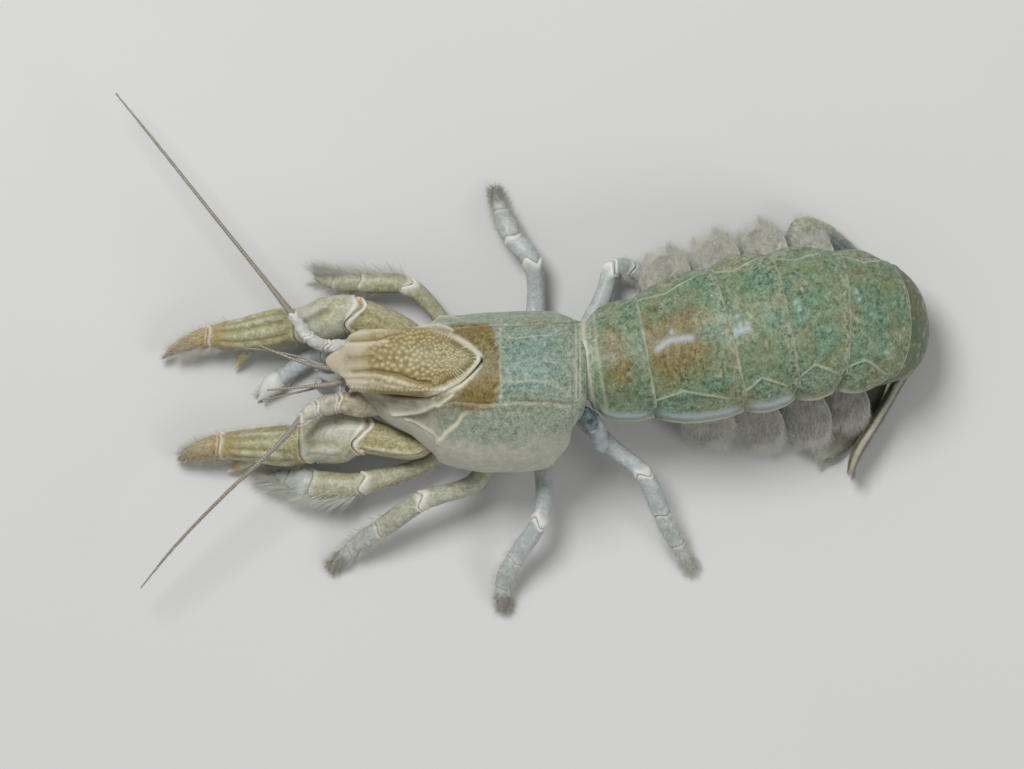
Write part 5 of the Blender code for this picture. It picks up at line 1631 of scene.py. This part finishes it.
def wrist_skin(course, side):
    """The wrist of a claw with its fold, dip and scales."""
    skin = podomere(course, 2 * CLAW_SPAN, 4 * CLAW_SPAN, 150, (1.0, 1.0, 1.02), 0.84, (1.1, 0.25), 0.6)
    outer = skin.turn if side == "left" else -skin.turn
    line = 34.0 - 30.0 * skin.share
    long = fade(skin.share, 0.3, 0.5) * fade(skin.share, 0.98, 0.85)
    fold = bump_at(outer, line + 8.0, 9.0) * long
    dip = bump_at(outer, line - 8.0, 9.0) * long
    scales = cross_scales(skin, outer, 6.0)
    skin.lift(fold * 0.35 - dip * 0.3 + scales * 0.05 + rough(skin.points, 1.6, 23) * 0.1)
    skin.marks["white"] = skin.marks["white"] * (0.3 + 0.7 * fade(skin.place, 3.5, 2.5))
    skin.mark("pale", scales * 0.25)
    skin.mark("flap", fold)
    skin.mark("pale", 0.3 + 0.4 * fade(rough(skin.points, 2.0, 25), -0.3, 0.6))
    skin.mark("furrow", dip * 0.5)
    skin.mark("pale", bump_at(skin.turn, -60.0, 24.0) * bump_at(skin.share, 0.35, 0.25) * 0.6)
    skin.mark("pale", fade(np.abs(skin.turn), 80.0, 115.0) * 0.5)
    return skin


def palm_skin(course, side, ridge):
    """The palm with its ridges, furrows and fine cross ridges."""
    skin = podomere(course, 4 * CLAW_SPAN, 7 * CLAW_SPAN, 160, (1.0, 1.0, 1.0), 0.82, (0.25, 0.25), 0.4)
    run = fade(skin.place, 0.8, 2.4) * fade(skin.ahead, 0.6, 2.4)
    ridges = sum(bump_at(skin.turn, at, width) * height for at, width, height in PALM_RIDGES[side])
    furrows = np.maximum.reduce([bump_at(skin.turn, at, 5.0) for at in PALM_FURROWS[side]])
    broken = fade(rough(skin.points, 0.8, 24), -0.5, 0.4)
    grains = np.maximum(0.0, np.cos(2 * np.pi * skin.place / 0.42)) * np.clip(ridges, 0, 1) * broken
    skin.lift(run * (ridges * ridge - furrows * 0.1 + grains * 0.05) + rough(skin.points, 1.2, 21) * 0.04)
    skin.marks["white"] = skin.marks["white"] * (0.3 + 0.25 * fade(skin.ahead, 2.5, 1.0))
    skin.mark("furrow", furrows * run * 0.7)
    skin.mark("striae", run * fade(np.abs(skin.turn), 120.0, 80.0) * (0.25 + 0.75 * broken))
    skin.mark("pale", ridges * run * 0.5 * (0.6 + 0.4 * grains))
    skin.mark("pale", fade(np.abs(skin.turn), 70.0, 110.0) * 0.6)
    end = bump_at(skin.ahead, 1.6, 1.6)
    skin.mark("furrow", end * 0.6)
    skin.mark("orange", end * 0.2)
    return skin


def fixed_finger_skin(side):
    """The short finger that doesn't move."""
    skin = lofted(blended(FIXED_FINGERS[side], 12), 40, 0.9)
    skin.mark("orange", fade(skin.share, 0.3, 0.6) * fade(skin.share, 0.9, 0.6) * 0.4)
    skin.mark("white", fade(skin.share, 0.6, 0.9) * 0.7)
    skin.mark("pale", fade(skin.share, 0.6, 0.2) * 0.5)
    return skin


def finger_skin(course, side):
    """The long finger of a claw with its edge and its dirt."""
    right = side == "right"
    skin = podomere(
        course, 7 * CLAW_SPAN, 10 * CLAW_SPAN, 100, (1.0, 1.06, 1.0, 1.0), 0.85, (0.25, 0.0), 0.35,
        (0.3, 0.12),
    )
    skin.marks["white"] = skin.marks["white"] * 0.5
    top = bump_at(skin.turn, -20.0, 16.0)
    run = fade(skin.share, 0.08, 0.25)
    skin.lift(top * run * 0.15 + rough(skin.points, 0.5, 31) * 0.06)
    blade = fade(skin.turn, 2.0, 26.0) * fade(skin.turn, 175.0, 140.0)
    dirt = fade(rough(skin.points, 0.5, 33), -0.4, 0.4)
    skin.mark("tawny", blade * fade(skin.share, 0.02, 0.2) * (0.9 if right else 0.5))
    skin.mark("tawny", 0.25 + 0.35 * fade(skin.share, 0.5, 1.0))
    skin.mark("tawny", fade(skin.place, 2.4, 0.8) * 0.6)
    skin.mark("furrow", bump_at(skin.turn, 6.0, 6.0) * run * 0.5)
    skin.mark("soil", (0.15 if right else 0.5) * fade(skin.share, 0.1, 0.6))
    skin.mark("soil", dirt * (0.2 if right else 0.8) * fade(skin.turn, -10.0, 40.0))
    return skin


# The knobs of the claws' joints: the station, their places in degrees round, reach and radius.
CLAW_KNOBS = (
    (2, (-62.0, 58.0), 0.93, 0.62), (4, (-64.0, 64.0), 0.9, 0.42), (7, (-66.0, 62.0), 0.9, 0.5),
)


class SHRIMP_OT_claws(bpy.types.Operator):
    """Makes the two claw limbs"""

    bl_idname = "shrimp.claws"
    bl_label = "Claws"

    def execute(self, context):
        limbs = context.scene.shrimp_limbs
        ridge = context.scene.shrimp_relief.ridge / MM
        finish = claw_finish(limbs, "Claw Shell", 0.0)
        palm_finish = claw_finish(limbs, "Palm Shell", 22.0)
        tooth_finish = shell_finish(
            "Claw Teeth", limbs.white, limbs.leg_light, (), cell=0.9, relief=(0.0, 0.1),
        )
        knob_finish = shell_finish(
            "Joint Knobs", limbs.orange, limbs.white, (), cell=0.9, contrast=0.9, relief=(0.0, 0.1),
        )
        for side, rows in CLAWS.items():
            course = limb_course((*rows[:7], *FINGERS[side]), CLAW_SPAN)
            for part, skin, coating, node in (
                ("arm_shell", arm_skin(course, side), finish, "arm"),
                ("wrist_shell", wrist_skin(course, side), finish, "wrist"),
                ("palm_shell", palm_skin(course, side, ridge), palm_finish, "palm"),
                ("fixed_finger", fixed_finger_skin(side), finish, "palm"),
                ("finger_shell", finger_skin(course, side), finish, "finger"),
            ):
                laid(f"claw_{side}_{part}", skin, coating, "claw", f"claw_{side}_{node}")
            finished(spines(f"claw_{side}_spines", CLAW_SPINES[side]), tooth_finish, "claw")
            places = []
            for station, at, reach, radius in CLAW_KNOBS:
                places += joint_knobs(course, station * CLAW_SPAN, at, reach, radius)
            finished(knobs(f"claw_{side}_knobs", places), knob_finish, "claw")
        return {"FINISHED"}


LEG_SPAN = 14
LEG_LENGTHS = (
    ("merus", 0, 2, (0.0, 0.7)), ("carpus", 2, 3, (0.7, 0.3)),
    ("propodus", 3, 4, (0.3, 0.15)), ("dactyl", 4, 5, (0.15, 0.0)),
)
LEG_PROFILES = {
    "merus": (0.92, 1.06, 1.08, 0.98, 0.9, 1.0), "carpus": (0.9, 0.98, 1.06, 1.1, 1.04),
    "propodus": (0.94, 1.1, 1.14, 1.06, 0.9), "dactyl": (0.88, 0.96, 0.84, 0.62, 0.3),
}
REACHING_PROFILES = {"dactyl": (1.1, 1.75, 1.5, 0.9, 0.2), "propodus": (1.0, 1.1, 1.2, 1.15, 1.1)}

# The plate and the first joint of the left hind leg, seen between the carapace and the abdomen.
HIND_PLATE = (
    (8.2, -7.4, 16.4, 0.3, 0.3), (9.2, -8.6, 15.4, 1.0, 0.7), (10.0, -10.0, 13.8, 1.15, 0.8),
    (10.3, -11.2, 12.4, 0.5, 0.5),
)
HIND_COXA = (
    (9.6, -8.8, 12.6, 1.1, 1.2), (10.9, -10.8, 11.6, 1.3, 1.4), (11.4, -12.6, 9.6, 1.35, 1.4),
    (12.0, -13.8, 8.4, 1.0, 1.0),
)


# The leg that reaches forward under the head, a leg's outer lengths and the lowest Z of any leg.
REACHING_LEG = "right_3"
FAR_LENGTHS = ("propodus", "dactyl")
LEG_FLOOR = 0.02


def leg_skin(name, course, part, start, end, swing):
    """One length of a walking leg with its marks."""
    reaching = name == REACHING_LEG
    far = part in FAR_LENGTHS
    fair = name == "left_2" and far
    merus = part == "merus"
    profile = LEG_PROFILES[part]
    if reaching:
        profile = REACHING_PROFILES.get(part, profile)
    skin = podomere(course, start * LEG_SPAN, end * LEG_SPAN, 72, profile, 0.88, swing, 0.42)
    skin.points[..., 2] = np.maximum(skin.points[..., 2], LEG_FLOOR)
    skin.look()
    olive = 0.3 if fair else 0.5 if far and name[-1] == "3" else 1.0
    skin.mark("olive", fade(np.abs(skin.turn), 120.0, 60.0) * olive)
    skin.mark("white", np.full(skin.share.shape, 0.35 * fair))
    skin.marks["white"] = skin.marks["white"] * (0.45 if far else 1.0)
    skin.mark("white", bump_at(skin.ahead, 0.25, 0.55) * 0.9 * merus)
    spot = bump_at(skin.ahead, 0.75, 0.5) * bump_at(np.abs(skin.turn), 68.0, 20.0)
    skin.mark("orange", spot * 0.7 * merus)
    if reaching and part == "dactyl":
        skin.mark("white", np.full(skin.share.shape, 0.8))
    if far and name[-1] != "2" and not reaching:
        skin.mark("soil", 0.2 + 0.5 * (part == "dactyl") * skin.share)
    return skin


class SHRIMP_OT_legs(bpy.types.Operator):
    """Makes the eight walking legs"""

    bl_idname = "shrimp.legs"
    bl_label = "Walking Legs"

    def execute(self, context):
        limbs = context.scene.shrimp_limbs
        finishes = {"2": limb_finish(limbs, "Front Leg", 0.75), "3": limb_finish(limbs, "Second Leg", 0.6)}
        plain = limb_finish(limbs, "Hind Leg", 0.12)
        for name, rows in LEGS.items():
            finish = plain if name == REACHING_LEG else finishes.get(name[-1], plain)
            course = limb_course(rows, LEG_SPAN)
            for part, *extent in LEG_LENGTHS:
                node = f"leg_{name}_{'upper' if part == 'merus' else 'lower'}"
                laid(f"leg_{name}_{part}", leg_skin(name, course, part, *extent), finish, "limb", node)
        shell = context.scene.shrimp_shell
        plate_finish = shell_finish(
            "Leg Plate", limbs.fan_blue, shell.blue_light, (("rim", limbs.leg_light, limbs.leg_light, 0.9),),
            cell=0.7, relief=(0.08, 0.3),
        )
        skin = lofted(blended(HIND_PLATE, 16), 48, 0.8, 0.0, (0.3, 0.3))
        skin.mark("rim", np.maximum(fade(skin.share, 0.8, 0.95), fade(np.abs(skin.turn), 60.0, 85.0)))
        laid("leg_left_5_plate", skin, plate_finish, "limb", "leg_left_5_upper")
        skin = lofted(blended(HIND_COXA, 16), 56, 0.9, 0.0, (0.3, 0.3))
        skin.lift(rough(skin.points, 1.0, 83) * 0.2 - bump_at(skin.share, 0.6, 0.06) * 0.2)
        laid("leg_left_5_coxa", skin, plain, "limb", "leg_left_5_upper")
        return {"FINISHED"}


HAIR_LEVELS = (0.0, 0.35, 0.7, 1.0)
HAIR_SIZES = (1.0, 0.85, 0.5, 0.08)
HAIR_SIDES = 3
HAIR_FLOOR = 0.06
TUFT_PATCH = 0.003


def bristle_object(name, roots, lies, bends, lengths, widths, places, soils):
    """Tapered bristles as one mesh, each a few faces, with a patch of the skin's plan for each."""
    levels, sizes = np.array(HAIR_LEVELS), np.array(HAIR_SIZES)
    count, rings = len(roots), len(levels)
    middle = (
        roots[:, None] + lies[:, None] * (lengths[:, None] * levels)[..., None]
        + bends[:, None] * (lengths[:, None] * levels**2)[..., None]
    )
    thick = widths[:, None] * sizes
    middle[..., 2] = np.maximum(middle[..., 2], HAIR_FLOOR + thick)
    side = unit(np.cross(lies, np.array((0.31, 0.17, 0.94))))
    over = np.cross(lies, side)
    angles = 2 * np.pi * np.arange(HAIR_SIDES) / HAIR_SIDES
    ring = np.cos(angles)[None, :, None] * side[:, None] + np.sin(angles)[None, :, None] * over[:, None]
    points = middle[:, :, None] + ring[:, None] * thick[..., None, None]
    block = rings * HAIR_SIDES
    faces, corners = [], []
    for level in range(rings - 1):
        for k in range(HAIR_SIDES):
            low, high = level * HAIR_SIDES, (level + 1) * HAIR_SIDES
            after = (k + 1) % HAIR_SIDES
            faces.append((low + k, low + after, high + after, high + k))
            corners.append((level, level, level + 1, level + 1))
    first = np.arange(count)[:, None, None] * block
    quads = (np.array(faces)[None] + first).reshape(-1, 4)
    foot = np.arange(HAIR_SIDES)[::-1]
    caps = np.concatenate([
        (first[:, 0] + foot), (first[:, 0] + block - HAIR_SIDES + np.arange(HAIR_SIDES)),
    ])
    mesh = bpy.data.meshes.new(name)
    mesh.vertices.add(count * block)
    mesh.vertices.foreach_set("co", (points * MM).ravel())
    corner_list = np.concatenate([quads.ravel(), caps.ravel()])
    mesh.loops.add(len(corner_list))
    mesh.loops.foreach_set("vertex_index", corner_list)
    mesh.polygons.add(len(quads) + len(caps))
    starts = np.concatenate([np.arange(len(quads)) * 4, len(quads) * 4 + np.arange(len(caps)) * 3])
    mesh.polygons.foreach_set("loop_start", starts)
    mesh.update(calc_edges=True)
    level_of = np.tile(np.repeat(levels, HAIR_SIDES), count)
    tip = mesh.attributes.new("tip", "FLOAT", "POINT")
    tip.data.foreach_set("value", level_of)
    soil = mesh.attributes.new("soil", "FLOAT", "POINT")
    soil.data.foreach_set("value", np.repeat(soils, block) * (0.25 + 0.75 * level_of))
    side_of = np.tile(np.arange(HAIR_SIDES) / HAIR_SIDES, count * rings)
    patch = np.stack([side_of, level_of], axis=1) * TUFT_PATCH
    place = np.repeat(places, block, axis=0) + patch
    layer = mesh.uv_layers.new(name="OFBake")
    layer.data.foreach_set("uv", place[corner_list].ravel())
    mesh.validate()
    mesh.shade_smooth()
    item = bpy.data.objects.new(name, mesh)
    bpy.context.scene.collection.objects.link(item)
    return item


def sampled(rows, share):
    """The numbers of the rows at shares of their count."""
    at = share * (len(rows) - 1)
    return np.stack([np.interp(at, np.arange(len(rows)), rows[:, k]) for k in range(rows.shape[1])], axis=1)


def coat(name, rows, bands, material, seed, thickness):
    """Bristles that grow from a limb.

    Each band has its start and end along the limb, the count, the length, the way round in degrees
    with its spread, the lean along the limb, the curl, the droop and how soiled the tips are.
    """
    draw = np.random.default_rng(seed)
    ways = directions(rows)
    kinds = [[] for _ in range(7)]
    for start, end, count, length, turn, spread, lean, curl, droop, soil in bands:
        share = draw.uniform(start, end, count)
        angle = np.radians(draw.normal(turn, spread, count))
        row = sampled(rows, share)
        along, across, above = (unit(sampled(way, share)) for way in ways)
        sin, cos = np.sin(angle)[:, None], np.cos(angle)[:, None]
        out = across * sin + above * cos
        root = row[:, :3] + across * row[:, 3:4] * sin * 0.85 + above * row[:, 4:5] * cos * 0.85
        forward = along * (lean + draw.normal(0, 0.18, (count, 1)))
        lie = unit(forward + out + draw.normal(0, 0.14, (count, 3)))
        bend = along * curl + draw.normal(0, 0.12, (count, 3)) - np.array((0, 0, droop))
        size = length * draw.uniform(0.6, 1.15, count)
        place = np.stack([0.02 + 0.95 * share, 0.02 + 0.95 * ((angle / (2 * np.pi)) % 1.0)], axis=1)
        width = thickness * draw.uniform(0.7, 1.2, count)
        parts = (root, lie, bend, size, width, place, np.full(count, soil))
        for kind, part in zip(kinds, parts):
            kind.append(part)
    piece = bristle_object(name, *(np.concatenate(kind) for kind in kinds))
    return finished(piece, material, "fringe")


def pair(start, end, counts, length, turns, *rest):
    """Two bands of bristles that differ only in their count and the way round."""
    return tuple((start, end, count, length, turn, *rest) for count, turn in zip(counts, turns))


def foot_band(start, count, length, soil):
    """The bristles on top of a foot."""
    return (start, 0.98, count, length, 0.0, 70.0, 0.9, 0.2, 0.1, soil)


SIDES = (270.0, 90.0)

# Bristles of each limb: start, end, count, length, degrees round, spread, lean, curl, droop, soil.
LEG_BRISTLES = {
    "left_2": (
        (0.42, 0.97, 900, 3.4, 75.0, 24.0, 1.2, 0.2, 0.1, 0.0),
        (0.55, 0.97, 300, 2.2, 270.0, 26.0, 1.6, 0.2, 0.1, 0.0),
        (0.2, 0.6, 120, 1.0, 80.0, 30.0, 0.8, 0.1, 0.1, 0.0),
        (0.84, 0.98, 420, 3.4, 90.0, 60.0, 2.0, 0.1, 0.15, 0.1),
    ),
    "right_2": (
        (0.42, 0.98, 700, 2.6, 275.0, 26.0, 0.9, 0.2, 0.1, 0.45),
        (0.7, 0.98, 420, 2.2, 240.0, 60.0, 0.9, 0.2, 0.1, 0.7),
        (0.5, 1.0, 160, 1.8, 80.0, 26.0, 1.2, 0.2, 0.1, 0.2),
    ),
    "left_3": (
        *pair(0.55, 0.97, (420, 360), 1.5, SIDES, 34.0, 0.5, 0.1, 0.1, 0.3), foot_band(0.84, 380, 1.1, 1.0),
    ),
    "left_4": (
        *pair(0.52, 0.97, (420, 360), 1.4, SIDES, 34.0, 0.5, 0.1, 0.1, 0.2), foot_band(0.84, 420, 1.1, 1.0),
    ),
    "left_5": (
        *pair(0.6, 0.97, (360, 360), 1.3, SIDES, 34.0, 0.5, 0.1, 0.1, 0.05), foot_band(0.86, 320, 1.0, 0.4),
    ),
    "right_3": pair(0.75, 0.97, (260, 200), 1.2, SIDES, 30.0, 0.6, 0.1, 0.0, 0.0),
    "right_4": (
        *pair(0.52, 0.97, (420, 360), 1.3, SIDES, 34.0, 0.5, 0.1, 0.1, 0.5), foot_band(0.84, 340, 1.0, 1.0),
    ),
    "right_5": (
        (0.4, 0.97, 520, 1.7, 270.0, 34.0, 0.5, 0.1, 0.0, 0.05),
        (0.5, 0.97, 300, 1.2, 90.0, 34.0, 0.6, 0.1, 0.0, 0.05),
    ),
}
CLAW_BRISTLES = {
    "left": (
        (0.72, 0.98, 800, 1.9, 95.0, 34.0, 0.6, 0.2, 0.15, 0.7),
        (0.74, 0.97, 420, 1.6, 270.0, 40.0, 0.9, 0.1, 0.0, 0.2),
        (0.5, 0.78, 420, 1.6, 250.0, 22.0, 0.9, 0.2, 0.0, 0.0),
        (0.45, 0.8, 420, 2.0, 120.0, 18.0, 0.8, 0.2, 0.2, 0.2),
        (0.8, 1.0, 300, 1.0, 0.0, 40.0, 1.4, 0.1, 0.0, 0.6),
    ),
    "right": (
        (0.74, 0.93, 420, 1.6, 85.0, 28.0, 0.7, 0.2, 0.15, 0.1),
        (0.7, 0.96, 520, 1.8, 275.0, 34.0, 0.8, 0.1, 0.0, 0.1),
        (0.45, 0.78, 300, 1.3, 95.0, 22.0, 0.8, 0.2, 0.1, 0.0),
        (0.82, 1.0, 300, 1.0, 0.0, 40.0, 1.4, 0.1, 0.0, 0.3),
    ),
}
MOUTH_BRISTLES = (
    (0.3, 0.95, 240, 0.8, 180.0, 40.0, 0.7, 0.2, 0.0, 0.0),
    (0.5, 0.9, 60, 0.6, 90.0, 90.0, 0.8, 0.2, 0.0, 0.0),
)
LEAF_BRISTLES = (
    *pair(0.25, 1.0, (620, 620), 2.0, (90.0, 270.0), 9.0, 1.2, 0.3, 0.05, 0.0),
    *pair(0.9, 1.0, (420, 420), 2.1, (90.0, 270.0), 50.0, 3.0, 0.2, 0.05, 0.0),
    (0.3, 0.95, 500, 1.2, 0.0, 70.0, 3.0, 0.1, 0.0, 0.0),
)
FAN_BRISTLES = (
    *pair(0.35, 1.0, (320, 320), 1.1, (90.0, 270.0), 8.0, 0.8, 0.2, 0.0, 0.1),
    (0.92, 1.0, 220, 1.1, 90.0, 60.0, 2.4, 0.2, 0.0, 0.2),
)
STANDING_FAN_BRISTLES = (
    *pair(0.35, 1.0, (320, 320), 1.0, (0.0, 180.0), 9.0, 0.8, 0.2, 0.0, 0.4),
    (0.92, 1.0, 220, 1.1, 90.0, 60.0, 2.4, 0.2, 0.0, 0.7),
)
FEELER_BRISTLES = pair(0.0, 1.0, (160, 160), 0.8, (90.0, 270.0), 60.0, 1.6, 0.1, 0.0, 0.0)


def coats():
    """The name, the sections and the bands of each coat of bristles."""
    for name, bands in LEG_BRISTLES.items():
        yield f"leg_{name}", blended(LEGS[name], 14), bands
    for side, bands in CLAW_BRISTLES.items():
        yield f"claw_{side}", blended(CLAWS[side], 14), bands
    for side, rows in MAXILLIPEDS.items():
        yield f"maxilliped_{side}", blended(rows, 12), MOUTH_BRISTLES
    for name, rows in pleopods():
        yield name, blended(rows, 12), LEAF_BRISTLES
    for name, rows in (("telson", TELSON), *UROPODS.items()):
        bands = STANDING_FAN_BRISTLES if name == "uropod_left_outer" else FAN_BRISTLES
        yield name, blended(rows, 12), bands
    for side, rows in ANTENNAE.items():
        yield f"antenna_{side}", blended(rows, 20), FEELER_BRISTLES


class SHRIMP_OT_bristles(bpy.types.Operator):
    """Makes the bristles of the limbs, the swimmerets and the tail fan"""

    bl_idname = "shrimp.bristles"
    bl_label = "Bristles"

    def execute(self, context):
        limbs = context.scene.shrimp_limbs
        sizes = context.scene.shrimp_relief
        thickness = sizes.bristle / MM / 2
        finish, bench, shader = new_material("Bristles")
        place = bench.node("ShaderNodeTexCoord")
        cloud = bench.noise(place.outputs["Object"], 700.0, 2.0)
        hair = bench.mix(cloud.outputs["Fac"], limbs.bristle, limbs.white)
        bench.put(bench.mix(bench.attribute("soil"), hair, limbs.soil), shader.inputs["Base Color"])
        shader.inputs["Roughness"].default_value = 0.5
        for number, (name, rows, bands) in enumerate(coats(), start=1):
            coat(f"{name}_bristles", rows, bands, finish, sizes.seed + number, thickness)
        return {"FINISHED"}


OPERATORS = (
    SHRIMP_OT_stage, SHRIMP_OT_carapace, SHRIMP_OT_head_shield, SHRIMP_OT_abdomen, SHRIMP_OT_tail_fan,
    SHRIMP_OT_swimmerets, SHRIMP_OT_eyes, SHRIMP_OT_feelers, SHRIMP_OT_mouth_limbs, SHRIMP_OT_claws,
    SHRIMP_OT_legs, SHRIMP_OT_bristles,
)


class SHRIMP_PT_panel(bpy.types.Panel):
    """Lists the pieces of the model"""

    bl_label = "Blue Mud Shrimp"
    bl_idname = "SHRIMP_PT_panel"
    bl_space_type = "VIEW_3D"
    bl_region_type = "UI"
    bl_category = "Shrimp"

    def draw(self, context):
        column = self.layout.column(align=True)
        for operator in OPERATORS:
            column.operator(operator.bl_idname)


GROUPS = {
    "shrimp_shell": ShrimpShellColours,
    "shrimp_limbs": ShrimpLimbColours,
    "shrimp_relief": ShrimpReliefSizes,
    "shrimp_stage": ShrimpStageSizes,
}


def register():
    """Registers the classes and puts the settings on the scene."""
    for group in (*GROUPS.values(), *OPERATORS, SHRIMP_PT_panel):
        bpy.utils.register_class(group)
    for name, group in GROUPS.items():
        setattr(bpy.types.Scene, name, PointerProperty(type=group))


def unregister():
    """Takes the settings and the classes away again."""
    for name in GROUPS:
        delattr(bpy.types.Scene, name)
    for group in (SHRIMP_PT_panel, *reversed(OPERATORS), *GROUPS.values()):
        bpy.utils.unregister_class(group)


def main():
    """Builds every piece in order."""
    register()
    for operator in OPERATORS:
        family, name = operator.bl_idname.split(".")
        getattr(getattr(bpy.ops, family), name)()
    boxes = {"cad": CAD_BOX, "visual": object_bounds()}
    plain = {key: [[float(value) for value in corner] for corner in box] for key, box in boxes.items()}


if __name__ == "__main__":
    main()
